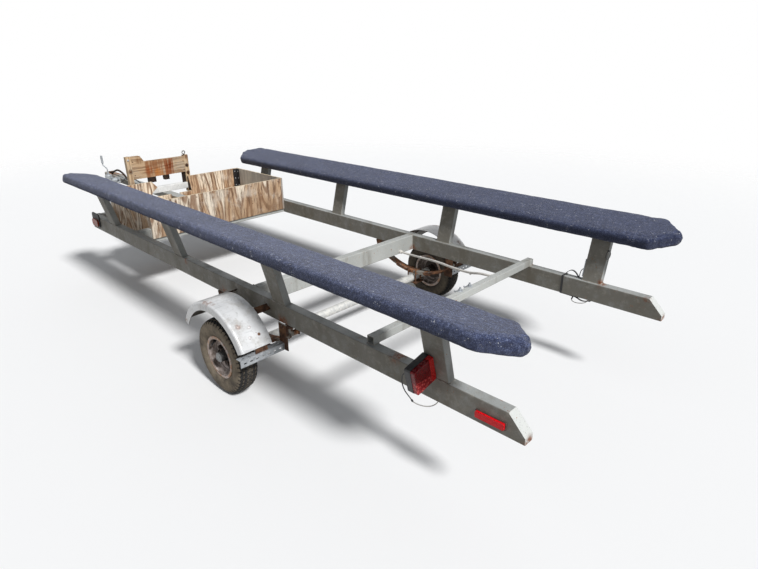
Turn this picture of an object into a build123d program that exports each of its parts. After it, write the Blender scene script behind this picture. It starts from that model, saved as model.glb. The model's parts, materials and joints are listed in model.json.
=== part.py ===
from build123d import *
import math
import os

# Boat trailer. Millimetres, +X forwards, +Y to the left, +Z up, ground at z = 0.
# Stations are measured from the axle (+ forwards), levels from the top of the rails (+ up).

# Running gear
tyre_radius = 205.0
tyre_width = 120.0
tyre_shoulder = (9.0, 12.0)   # shoulder, in from the widest place and from the tread's top
tyre_waist = 3.0              # bead's top above the flange, and the widest place below the wall's middle
wheel_gap = 115.4             # between the rail's outer face and the tyre's inner side
running_gap = 0.3             # round spindles, pins and seats
rim_seat_radius = 101.6
rim_flange_radius = 116.0
rim_half_width = 50.0
rim_wall = 3.0
rim_well = (-25.0, 50.0 / 3)  # well's edges, from the tyre's middle plane
rim_well_depth = 14.0
rim_well_slope = 8.0
disc_offset = 8.0             # wheel disc's inner face, outboard of the tyre's middle plane
disc_thickness = 4.0
disc_bolt_circle = 101.6
disc_centre_radius = 31.0
disc_window = (26.0, 17.0)    # width, distance between its round ends' centres
disc_window_offset = 4.0      # outboard of the bolt circle
wheel_bolts = 4
hub_radius = 31.0
hub_flange_radius = 66.0
hub_flange_thickness = 9.0
hub_depth = 52.0              # hub barrel behind the disc
hub_taper = 3.0
cap_radius = 27.0
cap_height = 46.0
cap_chamfer = (6.0, 8.0)
cap_play = 3.0                # ahead of the spindle's end
stud_radius = 6.0
stud_hole_gap = 0.5
stud_root = 1.0               # of the stud inside the flange
stud_past = 4.0               # past the nut
nut_radius = 10.5
nut_height = 14.0
spindle_radius = 12.7
axle_radius = 25.4
axle_behind_hub = 6.0

# Chassis
axle_below_rail_top = 307.0
frame_width = 1335.2
rail_height = 101.6
rail_width = 50.8
rail_wall = 3.2
rail_corner = 5.0
rail_front = 2180.0
rail_tail_top = 1541.0        # behind the axle, where the tail starts to slant
rail_tail = 1612.0
rail_tail_lip = 28.9          # upright part of the tail
cross_section = 50.8          # crossmember, along the trailer
middle_cross = 0.0            # rear faces of the crossmembers
front_cross = 1450.0
rear_tube_size = 38.1
rear_tube_station = -882.0
rear_tube_overhang = 17.6     # rear cross tube's end, inboard of the rails' outer faces
tube_wall = 3.0
tube_corner = 3.0
tongue_wall = 4.0
tongue_corner = 4.0

# Bunks and their posts
bunk_width = 262.0
bunk_thickness = 62.0
bunk_edge_radius = 20.0
bunk_corner_radius = 40.0
bunk_offset = 64.4            # bunk's middle line, outboard of the rail's outer face
bunk_left_tilt = 10.5         # outer edge higher
bunk_right_tilt = 14.0
bunk_left_level = 305.0
bunk_right_level = 294.0
bunk_left_reach = (-1625.0, 2125.0)
bunk_right_reach = (-1600.0, 2150.0)
bunk_left_cuts = (110.0, 75.0)    # slanted corners, rear and front
bunk_right_cuts = (110.0, 110.0)
post_length = 101.6
post_depth = 38.1
post_corner = 4.0
post_lean = 14.0
post_stations = (-1237.0, -245.0, 785.0, 1777.0)

# Springs and their seats
spring_width = 44.0
spring_play = 1.0             # between a spring and each hanger cheek
spring_leaf = 7.0
spring_half_span = 317.0
spring_eye_level = -152.0
spring_leaf_shares = (1.0, 0.72, 0.44)
eye_radius = 14.0
eye_pin_radius = 6.5
hanger_wall = 5.0
hanger_length = 60.0
seat_height = 6.0
clamp_rod = 5.0
clamp_bend = 6.0
clamp_gap = 0.5               # between a rod's leg and the spring's side
clamp_rest = 0.2              # of a rod into the top leaf's hollow
clamp_tail = 8.0              # rods' ends below the plate
clamp_pitch = 66.0            # along the trailer, between the U-bolts
clamp_plate = (96.0, 84.0, 8.0)

# Fenders
fender_radius = 308.0
fender_skin = 2.5
fender_lap = 15.0             # past the tyre's outer side
fender_width = 170.0
fender_skirt = 45.0
fender_edge_radius = 12.0
fender_start = 26.0           # degrees above the horizontal, front and rear
arm_width = 38.0
arm_thickness = 5.0
arm_angle = 30.0              # either side of the fender's top
arm_margin = 13.0             # arm's end, inboard of the fender's outer face
strut_leg = 38.0
strut_wall = 3.0
strut_slot = (16.0, 8.0)
strut_pitch = 34.0
strut_margin = 16.0
strut_gap = 34.0              # below the fender's rear end
strut_past = 12.0             # past the fender's outer face
link_span = (-73.0, -3.0)     # from the tyre's middle plane
link_lap = 14.0
gusset_gap = 6.0              # between the gusset and the spring's rear pin

# Tongue, coupler and jack
tongue_width = 76.2
tongue_height = 50.8
tongue_rear = 1450.0
tongue_front = 3353.0
coupler_lap = 80.0            # tongue's end inside the coupler
coupler_length = 303.0
coupler_straight = 113.0
coupler_wall = 5.0
coupler_nose_radius = 38.0
coupler_depth = 60.0
ball_radius = 25.4
ball_clearance = 0.4
socket_depth = 25.0
latch_block = (28.0, 10.0)    # pivot block's length and height
latch_behind_ball = 59.0
latch_lever = (47.2, 70.8)    # lever's bend and end, behind the block's middle
latch_levels = (9.0, 15.0, 13.0, 19.0, 25.0, 30.0)
latch_slant = (2.0, 4.0)
latch_width = 26.0
jack_behind_coupler = 4.0     # between the jack's bracket and the coupler
jack_offset = 122.0           # jack's axis, left of the tongue's middle line
jack_tube_radius = 28.6
jack_tube_wall = 3.0
jack_tube_level = (-205.0, 55.0)
jack_cap_height = 34.0
jack_cap_lip = 3.0
jack_cap_edge = 8.0
screw_boss = (13.0, 10.0)     # radius and height on the cap
collar_radius = 24.0
pivot_radius = 16.0
jack_leg_wall = 3.0
jack_leg_overlap = 130.0
jack_foot_radius = 64.0
jack_foot_thickness = 8.0
jack_foot_edge = 3.0
jack_plate = (100.0, 8.0)
crank_stem = 46.0             # above the boss
crank_arm = 92.0
crank_rise = 24.0             # arm's outer end above its inner end
crank_rod = 5.5
crank_bend = 11.0
grip_radius = 10.0
grip_length = 70.0
grip_start = 18.0             # from the crank's arm
grip_tip = 20.0               # rod's end past the grip's length

# Bow stop of timber on the tongue
stop_station = 2300.0
stop_tube = 50.8
stop_span = (-200.0, 258.0)
stop_post = 38.0
stop_post_foot = 20.0
stop_post_tops = (336.0, 377.0)
stop_board = 38.0
stop_board_level = (192.0, 325.0)
stop_hump = (148.0, 32.0, 50.0)   # foot's Y, run and rise of the board's higher left end
hump_radius = 16.0
stop_strap = (5.0, 32.0)
stop_blocks = (               # right and left faces, depth below the board
    (-46.0, -4.0, 40.0),
    (72.0, 132.0, 45.0),
)

# Plywood box
ply = 12.0
box_gap_left = 86.8           # between the left rail and the box
box_length = 660.0            # inside, along the trailer
box_level = 188.0
box_skirt = -72.0
notch_floor = 60.0
notch_points = ((-130.0, 188.0), (-148.0, 60.0), (205.0, 60.0), (198.0, 96.0), (148.0, 137.0), (190.0, 188.0))
tongue_slot_clearance = 1.0
bracket_leg = 40.0
bracket_wall = 3.0
bracket_margins = (8.0, 6.0)  # above the floor, below the box's top
moving_clearance = 6.0

# Lamps
lamp = (48.0, 113.0, 111.0)   # along the trailer, out from the post, up the post
lamp_foot = 2.0               # above the rail, along the post
lamp_corner = 8.0
lens_depth = 20.0
lens_inset = 1.5
lens_edge = 3.0
lamp_plate = 4.0
lamp_plate_margin = 8.0
side_base = (127.0, 5.0, 32.0)
side_lens = (119.0, 9.0, 26.0)
side_marker_place = (-1475.5, -59.0)      # station and level of the base's middle
side_corner = 4.0
front_base = (130.0, 8.0, 106.0)
front_lens = (104.0, 12.0, 54.0)
front_marker_place = (2090.0, -25.0)
front_lens_drop = 19.0        # lens's middle below the base's
front_corner = 22.0

# Wiring conduit
conduit_radius = 7.0
arc_share = 0.45              # of the shorter run, taken by each arc
gland_radius = 12.0
gland_length = 14.0

# Frame of reference: the middle of the whole trailer's length, on the ground
coupler_reach = tongue_front - coupler_lap + coupler_length
axle_x = (-bunk_left_reach[0] - coupler_reach) / 2
axle_z = tyre_radius
rail_top = axle_z + axle_below_rail_top
rail_bottom = rail_top - rail_height
half_frame = frame_width / 2
rail_inner = half_frame - rail_width
tongue_top = rail_top + tongue_height
spring_gauge = frame_width - rail_width
wheel_middle = half_frame + wheel_gap + tyre_width / 2
fender_outer = wheel_middle + tyre_width / 2 + fender_lap
bunk_gauge = frame_width + 2 * bunk_offset

os.makedirs("parts", exist_ok=True)


def save(body, name):
    body.part.label = name
    export_step(body.part, f"parts/{name}.step")


def at(station):
    return axle_x + station


def level(height):
    return rail_top + height


# A block or a hollow square tube between two corners, open at both ends along its axis
def block(low, high):
    middle = [(a + b) / 2 for a, b in zip(low, high)]
    with Locations(tuple(middle)):
        Box(*[b - a for a, b in zip(low, high)])


def square_tube(low, high, along, wall, corner):
    with BuildPart() as body:
        block(low, high)
        fillet(body.edges().filter_by(along), radius=corner)
        spread = [0.0 if abs(d) > 0.5 else wall for d in along.direction]
        middle = [(a + b) / 2 for a, b in zip(low, high)]
        inside = [b - a - 2 * s for a, b, s in zip(low, high, spread)]
        with Locations(tuple(middle)):
            Box(*inside, mode=Mode.SUBTRACT)
    return body


# Rails: rectangular tubes with a slanted, closed tail and an open front end
for name, side in (("rail_left", 1), ("rail_right", -1)):
    rail_plane = Plane.XZ.offset(-side * (half_frame - rail_width / 2))
    tail_lip = rail_bottom + rail_tail_lip
    with BuildPart() as rail:
        with BuildSketch(rail_plane):
            with BuildLine():
                Polyline(
                    (at(-rail_tail_top), rail_top),
                    (at(rail_front), rail_top),
                    (at(rail_front), rail_bottom),
                    (at(-rail_tail), rail_bottom),
                    (at(-rail_tail), tail_lip),
                    close=True,
                )
            make_face()
        extrude(amount=rail_width / 2, both=True)
        fillet(rail.edges().filter_by(Axis.X), radius=rail_corner)
        with BuildSketch(rail_plane):
            with BuildLine():
                Polyline(
                    (at(-rail_tail_top), rail_top),
                    (at(rail_front) + 2 * rail_wall, rail_top),
                    (at(rail_front) + 2 * rail_wall, rail_bottom),
                    (at(-rail_tail), rail_bottom),
                    (at(-rail_tail), tail_lip),
                    close=True,
                )
            make_face()
            offset(amount=-rail_wall, kind=Kind.INTERSECTION, mode=Mode.REPLACE)
        extrude(amount=rail_width / 2 - rail_wall, both=True, mode=Mode.SUBTRACT)
    save(rail, name)

# Crossmembers between the rails, flush with them
box_front = front_cross + box_length
cross_table = (  # name, station of the rear face
    ("crossmember_middle", middle_cross),
    ("crossmember_front", front_cross),
    ("crossmember_nose", box_front + ply),
)
for name, station in cross_table:
    cross = square_tube(
        (at(station), -rail_inner, rail_bottom),
        (at(station) + cross_section, rail_inner, rail_top),
        Axis.Y,
        rail_wall,
        rail_corner,
    )
    save(cross, name)

# Rear cross tube lying on the rails
rear_tube_end = half_frame - rear_tube_overhang
rear_tube = square_tube(
    (at(rear_tube_station), -rear_tube_end, rail_top),
    (at(rear_tube_station) + rear_tube_size, rear_tube_end, rail_top + rear_tube_size),
    Axis.Y,
    tube_wall,
    tube_corner,
)
save(rear_tube, "cross_tube_rear")

# Bunks and posts: each bunk's middle plane tilts, and its posts end at its underside
lean_sin = math.sin(math.radians(post_lean))
lean_cos = math.cos(math.radians(post_lean))
bunk_table = (  # side name, side, tilt, level, reach behind and ahead of the axle, corner cuts
    ("left", 1, bunk_left_tilt, bunk_left_level, bunk_left_reach, bunk_left_cuts),
    ("right", -1, bunk_right_tilt, bunk_right_level, bunk_right_reach, bunk_right_cuts),
)
for side_name, side, tilt, bunk_level, reach, cuts in bunk_table:
    tilt_sin = math.sin(math.radians(tilt))
    tilt_cos = math.cos(math.radians(tilt))
    bunk_plane = Plane(
        origin=(at(sum(reach) / 2), side * bunk_gauge / 2, level(bunk_level)),
        x_dir=(1, 0, 0),
        z_dir=(0, -side * tilt_sin, tilt_cos),
    )
    bunk_length = reach[1] - reach[0]
    with BuildPart() as bunk:
        with BuildSketch(bunk_plane) as outline:
            Rectangle(bunk_length, bunk_width)
            rear, front = outline.vertices().group_by(Axis.X)
            chamfer(rear, length=cuts[0])
            chamfer(front, length=cuts[1])
            fillet(outline.vertices(), radius=bunk_corner_radius)
        extrude(amount=bunk_thickness / 2, both=True)
        faces = bunk.faces().sort_by(Axis(bunk_plane.origin, bunk_plane.z_dir))
        fillet(faces[0].edges() + faces[-1].edges(), radius=bunk_edge_radius)
    save(bunk, f"bunk_{side_name}")

    post_middle = half_frame - post_depth / (2 * lean_cos)
    post_reach = (bunk_level + bunk_thickness) / lean_cos + post_depth
    with BuildPart() as posts:
        for station in post_stations:
            post_plane = Plane(
                origin=(at(station), side * post_middle, rail_top),
                x_dir=(1, 0, 0),
                z_dir=(0, side * lean_sin, lean_cos),
            )
            with BuildSketch(post_plane.offset(-post_depth)):
                RectangleRounded(post_length, post_depth, radius=post_corner)
                Rectangle(post_length - 2 * tube_wall, post_depth - 2 * tube_wall, mode=Mode.SUBTRACT)
            extrude(amount=post_reach + post_depth)
        split(bisect_by=Plane.XY.offset(rail_top), keep=Keep.TOP)
        split(bisect_by=bunk_plane.offset(-bunk_thickness / 2), keep=Keep.BOTTOM)
    save(posts, f"posts_{side_name}")

# Axle: a straight bar with a spindle at each end and a seat under each spring
hub_inner = wheel_middle + disc_offset - hub_flange_thickness - hub_depth
axle_end = hub_inner - axle_behind_hub
spindle_end = wheel_middle + disc_offset + disc_thickness + cap_height / 2
axle_origin = (axle_x, 0, axle_z)
with BuildPart() as axle:
    with BuildSketch(Plane.XZ.offset(-axle_end)):
        with Locations((axle_x, axle_z)):
            Circle(axle_radius)
    extrude(amount=2 * axle_end)
    with BuildSketch(Plane.XZ.offset(-spindle_end)):
        with Locations((axle_x, axle_z)):
            Circle(spindle_radius)
    extrude(amount=2 * spindle_end)
    for side in (1, -1):
        seat_y = side * spring_gauge / 2
        block(
            (axle_x - axle_radius, seat_y - spring_width / 2, axle_z),
            (axle_x + axle_radius, seat_y + spring_width / 2, axle_z + axle_radius + seat_height),
        )
save(axle, "axle")

# Leaf springs: stacked arcs that share one centre, with an eye at each end
spring_bottom = axle_z + axle_radius + seat_height
spring_top = spring_bottom + spring_leaf * len(spring_leaf_shares)
spring_rise = level(spring_eye_level) - spring_top
spring_radius = (spring_half_span**2 + spring_rise**2) / (2 * spring_rise)
spring_centre = spring_top + spring_radius
spring_swing = math.asin(spring_half_span / spring_radius)


# Point of the spring's arc, from the swing away from straight down
def spring_point(radius, swing):
    return (axle_x + radius * math.sin(swing), spring_centre - radius * math.cos(swing))


with BuildPart() as springs:
    for side in (1, -1):
        spring_plane = Plane.XZ.offset(-side * spring_gauge / 2)
        with BuildSketch(spring_plane):
            for order, share in enumerate(spring_leaf_shares):
                top = spring_radius + order * spring_leaf
                low = top + spring_leaf
                swing = share * spring_swing
                with BuildLine():
                    upper = ThreePointArc(
                        spring_point(top, -swing), spring_point(top, 0), spring_point(top, swing)
                    )
                    lower = ThreePointArc(
                        spring_point(low, -swing), spring_point(low, 0), spring_point(low, swing)
                    )
                    Line(upper @ 0, lower @ 0)
                    Line(upper @ 1, lower @ 1)
                make_face()
            eye_radius_path = spring_radius + spring_leaf - eye_radius
            for way in (1, -1):
                with Locations(spring_point(eye_radius_path, way * spring_swing)):
                    Circle(eye_radius)
            for way in (1, -1):
                with Locations(spring_point(eye_radius_path, way * spring_swing)):
                    Circle(eye_pin_radius + running_gap, mode=Mode.SUBTRACT)
        extrude(amount=spring_width / 2, both=True)
save(springs, "leaf_springs")

# Hangers under the rails: a plate, two cheeks and the pin through each spring eye
eye_x_offset, eye_z = spring_point(spring_radius + spring_leaf - eye_radius, spring_swing)
eye_x_offset -= axle_x
cheek_inner = spring_width / 2 + spring_play
cheek_outer = cheek_inner + hanger_wall
with BuildPart() as hangers:
    for side in (1, -1):
        for way in (1, -1):
            hanger_x = axle_x + way * eye_x_offset
            hanger_y = side * spring_gauge / 2
            block(
                (hanger_x - hanger_length / 2, hanger_y - cheek_outer, rail_bottom - hanger_wall),
                (hanger_x + hanger_length / 2, hanger_y + cheek_outer, rail_bottom),
            )
            for cheek in (1, -1):
                cheek_plane = Plane.XZ.offset(-(hanger_y + cheek * (cheek_inner + cheek_outer) / 2))
                with BuildSketch(cheek_plane):
                    with BuildLine():
                        Polyline(
                            (hanger_x - hanger_length / 2, rail_bottom - hanger_wall),
                            (hanger_x + hanger_length / 2, rail_bottom - hanger_wall),
                            (hanger_x + eye_radius, eye_z - eye_radius),
                            (hanger_x - eye_radius, eye_z - eye_radius),
                            close=True,
                        )
                    make_face()
                extrude(amount=hanger_wall / 2, both=True)
            with BuildSketch(Plane.XZ.offset(-(hanger_y + cheek_outer + hanger_wall))):
                with Locations((hanger_x, eye_z)):
                    Circle(eye_pin_radius)
            extrude(amount=2 * (cheek_outer + hanger_wall))
save(hangers, "spring_hangers")

# Axle clamps: a plate under the axle and two rods up and over each spring
rod_reach = clamp_pitch / 2 + clamp_rod
rod_rest = spring_centre - math.sqrt((spring_radius - clamp_rest) ** 2 - rod_reach**2)
rod_level = rod_rest + clamp_rod
plate_top = axle_z - axle_radius
leg_offset = spring_width / 2 + clamp_rod + clamp_gap
with BuildPart() as clamps:
    for side in (1, -1):
        clamp_y = side * spring_gauge / 2
        block(
            (axle_x - clamp_plate[0] / 2, clamp_y - clamp_plate[1] / 2, plate_top - clamp_plate[2]),
            (axle_x + clamp_plate[0] / 2, clamp_y + clamp_plate[1] / 2, plate_top),
        )
        for way in (1, -1):
            rod_x = axle_x + way * clamp_pitch / 2
            with BuildLine() as rod_path:
                FilletPolyline(
                    (rod_x, clamp_y - leg_offset, plate_top - clamp_plate[2] - clamp_tail),
                    (rod_x, clamp_y - leg_offset, rod_level),
                    (rod_x, clamp_y + leg_offset, rod_level),
                    (rod_x, clamp_y + leg_offset, plate_top - clamp_plate[2] - clamp_tail),
                    radius=clamp_bend,
                )
            with BuildSketch(Plane(origin=rod_path.line @ 0, z_dir=rod_path.line % 0)):
                Circle(clamp_rod)
            sweep()
save(clamps, "axle_clamps")


# Wheels: hub with studs, nuts and cap; pressed steel rim; tyre
def wheel_profile(side, points):
    return [(side * (wheel_middle + a), axle_z + r) for a, r in points]


wheel_axis = Axis(axle_origin, (0, 1, 0))
disc_inner = disc_offset
disc_outer = disc_offset + disc_thickness
for side_name, side in (("left", 1), ("right", -1)):
    with BuildPart() as hub:
        hub_back = disc_inner - hub_flange_thickness
        with BuildSketch(Plane.YZ.offset(axle_x)):
            with BuildLine():
                Polyline(
                    *wheel_profile(
                        side,
                        (
                            (hub_back - hub_depth, spindle_radius + running_gap),
                            (hub_back - hub_depth, hub_radius),
                            (hub_back, hub_radius + hub_taper),
                            (hub_back, hub_flange_radius),
                            (disc_inner, hub_flange_radius),
                            (disc_inner, cap_radius),
                            (disc_outer + cap_height - cap_chamfer[0], cap_radius),
                            (disc_outer + cap_height, cap_radius - cap_chamfer[1]),
                            (disc_outer + cap_height, 0),
                            (disc_outer + cap_height / 2 + cap_play, 0),
                            (disc_outer + cap_height / 2 + cap_play, spindle_radius + running_gap),
                        ),
                    ),
                    close=True,
                )
            make_face()
        revolve(axis=wheel_axis)
        stud_plane = Plane(
            origin=(axle_x, side * (wheel_middle + disc_inner - stud_root), axle_z),
            x_dir=(1, 0, 0),
            z_dir=(0, side, 0),
        )
        with BuildSketch(stud_plane):
            with PolarLocations(disc_bolt_circle / 2, wheel_bolts, start_angle=45):
                Circle(stud_radius)
        extrude(amount=stud_root + disc_thickness + nut_height + stud_past)
        with BuildSketch(stud_plane.offset(stud_root + disc_thickness)):
            with PolarLocations(disc_bolt_circle / 2, wheel_bolts, start_angle=45):
                RegularPolygon(nut_radius, 6)
        extrude(amount=nut_height)
    save(hub, f"hub_{side_name}")

    with BuildPart() as rim:
        flange = rim_flange_radius
        seat = rim_seat_radius
        half = rim_half_width
        well_inner, well_outer = rim_well
        slope = rim_well_slope
        under = seat - rim_wall
        well = seat - rim_well_depth
        well_under = under - rim_well_depth
        with BuildSketch(Plane.YZ.offset(axle_x)):
            with BuildLine():
                Polyline(
                    *wheel_profile(
                        side,
                        (
                            (-half, flange),
                            (-half + rim_wall, flange),
                            (-half + rim_wall, seat),
                            (well_inner, seat),
                            (well_inner + slope, well),
                            (well_outer, well),
                            (well_outer + slope, seat),
                            (half - rim_wall, seat),
                            (half - rim_wall, flange),
                            (half, flange),
                            (half, under),
                            (well_outer + slope + rim_wall, under),
                            (well_outer + rim_wall, well_under),
                            (disc_outer, well_under),
                            (disc_outer, disc_centre_radius),
                            (disc_inner, disc_centre_radius),
                            (disc_inner, well_under),
                            (well_inner + slope - rim_wall, well_under),
                            (well_inner - rim_wall, under),
                            (-half, under),
                        ),
                    ),
                    close=True,
                )
            make_face()
        revolve(axis=wheel_axis)
        disc_plane = Plane(
            origin=(axle_x, side * (wheel_middle + disc_inner - stud_root), axle_z),
            x_dir=(1, 0, 0),
            z_dir=(0, side, 0),
        )
        with BuildSketch(disc_plane):
            with PolarLocations(disc_bolt_circle / 2, wheel_bolts, start_angle=45):
                Circle(stud_radius + stud_hole_gap)
            with PolarLocations(disc_bolt_circle / 2 + disc_window_offset, wheel_bolts):
                SlotCenterToCenter(disc_window[1], disc_window[0], rotation=90)
        extrude(amount=disc_thickness + 2 * stud_root, mode=Mode.SUBTRACT)
    save(rim, f"rim_{side_name}")

    with BuildPart() as tyre:
        bead = half - rim_wall - running_gap
        bulge = tyre_width / 2
        shoulder = bulge - tyre_shoulder[0]
        shoulder_radius = tyre_radius - tyre_shoulder[1]
        waist = (flange + tyre_radius) / 2 - tyre_waist
        with BuildSketch(Plane.YZ.offset(axle_x)):
            with BuildLine():
                corners = wheel_profile(
                    side,
                    (
                        (-bead, seat + running_gap),
                        (bead, seat + running_gap),
                        (bead, flange + tyre_waist),
                        (bulge, waist),
                        (shoulder, shoulder_radius),
                        (0, tyre_radius),
                        (-shoulder, shoulder_radius),
                        (-bulge, waist),
                        (-bead, flange + tyre_waist),
                    ),
                )
                Line(corners[0], corners[1])
                Line(corners[1], corners[2])
                ThreePointArc(corners[2], corners[3], corners[4])
                ThreePointArc(corners[4], corners[5], corners[6])
                ThreePointArc(corners[6], corners[7], corners[8])
                Line(corners[8], corners[0])
            make_face()
        revolve(axis=wheel_axis)
    save(tyre, f"tyre_{side_name}")

# Fenders: a rolled skin over each wheel with a skirt down its outer edge
start = math.radians(fender_start)
fender_inner = fender_radius - fender_skin
fender_plane = Plane(
    origin=axle_origin,
    x_dir=(0, 1, 0),
    z_dir=(math.sin(start), 0, -math.cos(start)),
)
for side_name, side in (("left", 1), ("right", -1)):
    inboard = side * (fender_outer - fender_width)
    outboard = side * fender_outer
    skin_face = side * (fender_outer - fender_skin)
    with BuildPart() as fender:
        with BuildSketch(fender_plane) as section:
            with BuildLine():
                Polyline(
                    (inboard, fender_inner),
                    (inboard, fender_radius),
                    (outboard, fender_radius),
                    (outboard, fender_radius - fender_skirt),
                    (skin_face, fender_radius - fender_skirt),
                    (skin_face, fender_inner),
                    close=True,
                )
            make_face()
            outer_corner = section.vertices().sort_by_distance((outboard, fender_radius))[0]
            fillet(outer_corner, radius=fender_edge_radius)
            inner_corner = section.vertices().sort_by_distance((skin_face, fender_inner))[0]
            fillet(inner_corner, radius=fender_edge_radius - fender_skin)
        revolve(axis=Axis(axle_origin, (0, -1, 0)), revolution_arc=180 - 2 * fender_start)
    save(fender, f"fender_{side_name}")

# Fender arms: flat bars from the rail's outer face, lying under the skin
arm_tip = fender_outer - arm_margin
arm_seat = math.sqrt(fender_inner**2 - (arm_width / 2) ** 2)
with BuildPart() as arms:
    for side in (1, -1):
        for way in (1, -1):
            swing = math.radians(way * arm_angle)
            outwards = (math.sin(swing), 0, math.cos(swing))
            arm_plane = Plane(
                origin=(axle_x + arm_seat * outwards[0], 0, axle_z + arm_seat * outwards[2]),
                x_dir=(0, 1, 0),
                z_dir=outwards,
            )
            with BuildSketch(arm_plane):
                with Locations((side * (half_frame + arm_tip) / 2, 0)):
                    Rectangle(arm_tip - half_frame, arm_width)
            extrude(amount=-arm_thickness)
save(arms, "fender_arms")

# Fender struts: slotted angle behind each wheel, on a gusset beside the hanger, with a link to the skin
strut_corner = axle_x - fender_radius * math.cos(start) + fender_skin
strut_top = axle_z + fender_radius * math.sin(start) - strut_gap
strut_tip = fender_outer + strut_past
link_top = axle_z + fender_inner * math.sin(start) + link_lap
link_face = axle_x - math.sqrt(fender_inner**2 - (link_top - axle_z) ** 2)
gusset_inner = spring_gauge / 2 + cheek_outer
gusset_outer = gusset_inner + arm_thickness
gusset_rear = axle_x - eye_x_offset + eye_pin_radius + gusset_gap
with BuildPart() as strut_plates:
    for side in (1, -1):
        near, far = sorted((side * gusset_inner, side * gusset_outer))
        block(
            (gusset_rear, near, strut_top - strut_leg),
            (strut_corner + strut_leg, far, rail_bottom - hanger_wall),
        )
        link_low, link_high = sorted(side * (wheel_middle + reach) for reach in link_span)
        block((link_face, link_low, strut_top), (link_face + strut_wall, link_high, link_top))
save(strut_plates, "strut_plates")

with BuildPart() as struts:
    for side in (1, -1):
        near, far = sorted((side * gusset_outer, side * strut_tip))
        block((strut_corner, near, strut_top - strut_wall), (strut_corner + strut_leg, far, strut_top))
        block((strut_corner, near, strut_top - strut_leg), (strut_corner + strut_wall, far, strut_top))
    slots = int((strut_tip - gusset_outer - 2 * strut_margin) / strut_pitch) + 1
    slot_middle = (gusset_outer + strut_tip) / 2
    for side in (1, -1):
        with BuildSketch(Plane.XY.offset(strut_top + 1)):
            with Locations((strut_corner + strut_leg / 2 + strut_wall / 2, side * slot_middle)):
                with GridLocations(0, strut_pitch, 1, slots):
                    SlotOverall(strut_slot[0], strut_slot[1], rotation=90)
        extrude(amount=-strut_wall - 2, mode=Mode.SUBTRACT)
        with BuildSketch(Plane.YZ.offset(strut_corner - 1)):
            with Locations((side * slot_middle, strut_top - strut_leg / 2 - strut_wall / 2)):
                with GridLocations(strut_pitch, 0, slots, 1):
                    SlotOverall(strut_slot[0], strut_slot[1])
        extrude(amount=strut_wall + 2, mode=Mode.SUBTRACT)
save(struts, "fender_struts")

# Tongue: a tube lying on the two front crossmembers
tongue_half = tongue_width / 2
tongue = square_tube(
    (at(tongue_rear), -tongue_half, rail_top),
    (at(tongue_front), tongue_half, tongue_top),
    Axis.X,
    tongue_wall,
    tongue_corner,
)
save(tongue, "tongue")

# Coupler: a channel over the tongue's end, narrowing to a nose with the ball socket
coupler_rear = at(coupler_reach - coupler_length)
coupler_top = tongue_top + coupler_wall
coupler_low = coupler_top - coupler_depth
coupler_half = tongue_half + coupler_wall
socket_x = at(coupler_reach) - coupler_nose_radius
socket_radius = ball_radius + ball_clearance
neck_x = coupler_rear + coupler_straight
with BuildPart() as coupler:
    with BuildSketch(Plane.XY.offset(coupler_low)):
        with BuildLine():
            Polyline(
                (coupler_rear, -coupler_half),
                (neck_x, -coupler_half),
                (socket_x, -coupler_nose_radius),
                (socket_x, coupler_nose_radius),
                (neck_x, coupler_half),
                (coupler_rear, coupler_half),
                close=True,
            )
        make_face()
        with Locations((socket_x, 0)):
            Circle(coupler_nose_radius)
    extrude(amount=coupler_depth)
    with Locations((socket_x, 0, coupler_low + socket_depth)):
        Sphere(coupler_nose_radius)
    split(bisect_by=Plane.XY.offset(coupler_low), keep=Keep.TOP)
    hollow_front = socket_x - coupler_nose_radius
    with Locations(((coupler_rear + at(tongue_front)) / 2, 0, (coupler_low + tongue_top) / 2)):
        Box(at(tongue_front) - coupler_rear, tongue_width, tongue_top - coupler_low, mode=Mode.SUBTRACT)
    with Locations(((at(tongue_front) + hollow_front) / 2, 0, (coupler_low + tongue_top) / 2)):
        Box(
            hollow_front - at(tongue_front),
            tongue_width - 2 * coupler_wall,
            tongue_top - coupler_low,
            mode=Mode.SUBTRACT,
        )
    with Locations((socket_x, 0, coupler_low + socket_depth / 2)):
        Cylinder(socket_radius, socket_depth, mode=Mode.SUBTRACT)
    with Locations((socket_x, 0, coupler_low + socket_depth)):
        Sphere(socket_radius, mode=Mode.SUBTRACT)
save(coupler, "coupler")

# Coupler latch: a pivot block and a lever that ends in a raised grip
latch_x = socket_x - latch_behind_ball
latch_front = latch_x + latch_block[0] / 2
lever_bend, lever_end = (latch_x - reach for reach in latch_lever)
lever_levels = [coupler_top + height for height in latch_levels]
with BuildPart() as latch:
    block(
        (latch_x - latch_block[0] / 2, -latch_block[0] / 2, coupler_top),
        (latch_front, latch_block[0] / 2, coupler_top + latch_block[1]),
    )
    with BuildSketch(Plane.XZ):
        with BuildLine():
            Polyline(
                (latch_front, lever_levels[0]),
                (latch_front, lever_levels[1]),
                (lever_bend, lever_levels[3]),
                (lever_end, lever_levels[5]),
                (lever_end - latch_slant[1], lever_levels[4]),
                (lever_bend - latch_slant[0], lever_levels[2]),
                close=True,
            )
        make_face()
    extrude(amount=latch_width / 2, both=True)
save(latch, "coupler_latch")

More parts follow.
